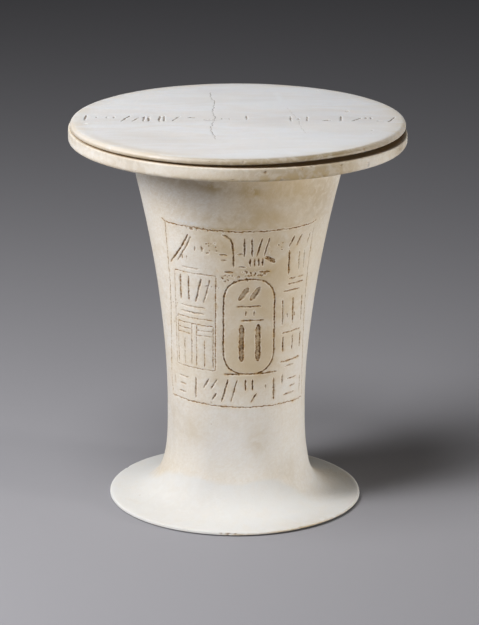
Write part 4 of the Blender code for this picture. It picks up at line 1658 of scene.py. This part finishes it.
def lid_finish():
    """Cold white travertine with fine streaks across, warmer at its edge and brown along its front, partly
    painted shade, with a highlight painted on its edge round the back.
    """
    material, tree, shader, place = new_finish("lid_travertine")
    streaks = clouds(tree, place, 0.0075, Stretch=(0.30, 1, 1), Wander=0.8)
    bands = clouds(tree, place, 0.0120, Stretch=(0.35, 1, 1), Low=0.42, High=0.70)
    threads = clouds(tree, place, 0.0022, Stretch=(0.16, 1, 1), Low=0.5, High=0.75)
    blotches = clouds(tree, place, 0.0026, Low=0.26, High=0.62)
    surface = use(tree, RUBBED_SURFACE, {"Place": place, "Marks": 0.2})
    dirt = cut_dirt(tree, place)
    ragged = ranged(tree, streaks, 0.80, 0.30)
    crack = ramped(tree, mark(tree, "inside_crack"), -0.16, 0.06)
    layers = (
        (product(tree, bands, 0.35), LID_GREY),
        (product(tree, threads, 0.15), LID_GREY),
        (product(tree, mark(tree, "row"), 0.30), LID_GREY),
        (product(tree, mark(tree, "near_edge"), ragged), LID_CREAM),
        # Pale scratch and clear patches, and a highlight painted on the edge round the back
        (product(tree, mark(tree, "white_marks"), 0.9), SCAR_AND_HIGHLIGHT_WHITE),
        # Dirt, and painted shade that dims the edge at the front left
        (mark(tree, "soiled_and_shaded"), SOILED_AND_SHADED_TAN),
        # Brown stains on the edge, partly painted shade at the front right
        (product(tree, mark(tree, "stain_and_shade"), ranged(tree, blotches, 0.55, 1.0)), EDGE_OCHRE),
        (product(tree, dirt["Rubbed"], 0.6), SCAR_AND_HIGHLIGHT_WHITE),
        (dirt["Lip"], SCAR_AND_HIGHLIGHT_WHITE),
        (product(tree, crack, mark(tree, "crack_dirt")), CRACK_GREY),
        (product(tree, mark(tree, "chip_dirt"), ragged), SOIL),
        (product(tree, dirt["Brown"], 0.9), STROKE_GREY),
        (dirt["Core"], CRACK_GREY),
    )
    bump = put(tree, "Bump", {"Strength": 0.3, "Distance": 0.00008, "Height": surface["Height"]})
    sockets = {
        "Base Color": layered(tree, laid_over(tree, streaks, LID_WHITE, LID_BLUE_WHITE), layers),
        "Roughness": ranged(tree, streaks, 0.50, 0.40),
        "Normal": bump.outputs[0],
    }
    plug_in(tree, shader, {**sockets, **LIGHT_IN_STONE})
    return material


lid.data.materials.append(lid_finish())
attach(lid, "root")
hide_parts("lid")


# Studio
# A plain pale floor that runs back out of the light, three soft lamps from the upper left, a weak low
# one on the right, and a long lens that looks down on the jar.
FRAME_WIDE = 479
FRAME_HIGH = 625
FOCAL_PIXELS = 3025
SENSOR = 36.0
SEEN_FROM_TO = (0.05, 30.0)
CAMERA_DISTANCE = 1.132
CAMERA_ELEVATION = math.radians(17.10)
CAMERA_ROLL = math.radians(0.51)
LOOK_AT = Vector((0.0012, 0.0, 0.0713))
FLOOR_SIZE = 8.0
FLOOR_GREY = (0.324, 0.324, 0.352, 1.0)
ROOM_GREY = (0.50, 0.51, 0.54, 1.0)
ROOM_STRENGTH = 0.020

# Each lamp: degrees round from the front and up, distance, size, spread in degrees, watts, colour
LAMPS = {
    "window_lamp": (-66, 38, 0.80, 0.26, 180, 2.75, (1.0, 0.985, 0.97)),
    "near_lamp": (-58, 32, 0.52, 0.18, 180, 1.55, (1.0, 0.985, 0.97)),
    "high_lamp": (-34, 70, 0.80, 0.34, 180, 2.65, (1.0, 0.985, 0.97)),
    "right_card": (70, 3, 0.80, 0.14, 60, 0.45, (1.0, 0.96, 0.90)),
}
LAMP_AIM = Vector((0.0, 0.0, 0.070))


def set_camera():
    """The camera, tilted down at the jar and rolled a little, with a lens as long as the photo's."""
    forward = Vector((0.0, math.cos(CAMERA_ELEVATION), -math.sin(CAMERA_ELEVATION)))
    level = Vector((1.0, 0.0, 0.0))
    upright = Vector((0.0, math.sin(CAMERA_ELEVATION), math.cos(CAMERA_ELEVATION)))
    right = level * math.cos(CAMERA_ROLL) + upright * math.sin(CAMERA_ROLL)
    up = upright * math.cos(CAMERA_ROLL) - level * math.sin(CAMERA_ROLL)
    data = bpy.data.cameras.new("camera")
    data.sensor_width = SENSOR
    data.lens = SENSOR * FOCAL_PIXELS / max(FRAME_WIDE, FRAME_HIGH)
    data.clip_start, data.clip_end = SEEN_FROM_TO
    camera = set_out("camera", data)
    turned = Matrix((right, up, -forward)).transposed().to_4x4()
    camera.matrix_world = Matrix.Translation(LOOK_AT - forward * CAMERA_DISTANCE) @ turned
    bpy.context.scene.camera = camera


def lay_floor():
    """The floor, one flat face of matt grey paper."""
    half = 0.5 * FLOOR_SIZE
    corners = [(-half, -half, 0), (half, -half, 0), (half, half, 0), (-half, half, 0)]
    data = bpy.data.meshes.new("floor")
    data.from_pydata(corners, [], [(0, 1, 2, 3)])
    material, tree, shader, _ = new_finish("floor_paper")
    plug_in(tree, shader, {"Base Color": FLOOR_GREY, "Roughness": 0.85, "Specular IOR Level": 0.1})
    data.materials.append(material)
    floor = set_out("floor", data)


def hang_lamps():
    """The lamps, as round soft lights that look at the jar's middle."""
    for name, (degrees, up, distance, size, spread, watts, colour) in LAMPS.items():
        turn = math.radians(degrees)
        rise = math.radians(up)
        way = Vector((math.sin(turn) * math.cos(rise), -math.cos(turn) * math.cos(rise), math.sin(rise)))
        data = bpy.data.lights.new(name, "AREA")
        data.shape = "DISK"
        data.size = size
        data.spread = math.radians(spread)
        data.energy = watts
        data.color = colour
        lamp = set_out(name, data)
        lamp.location = LAMP_AIM + way * distance
        lamp.rotation_euler = (-way).to_track_quat("-Z", "Y").to_euler()


def fill_room():
    """The weak even light of the room."""
    world = bpy.data.worlds.new("room")
    world.use_nodes = True
    background = world.node_tree.nodes["Background"]
    background.inputs["Color"].default_value = ROOM_GREY
    background.inputs["Strength"].default_value = ROOM_STRENGTH
    bpy.context.scene.world = world


set_camera()
lay_floor()
hang_lamps()
fill_room()
bpy.context.scene.view_settings.view_transform = "Standard"
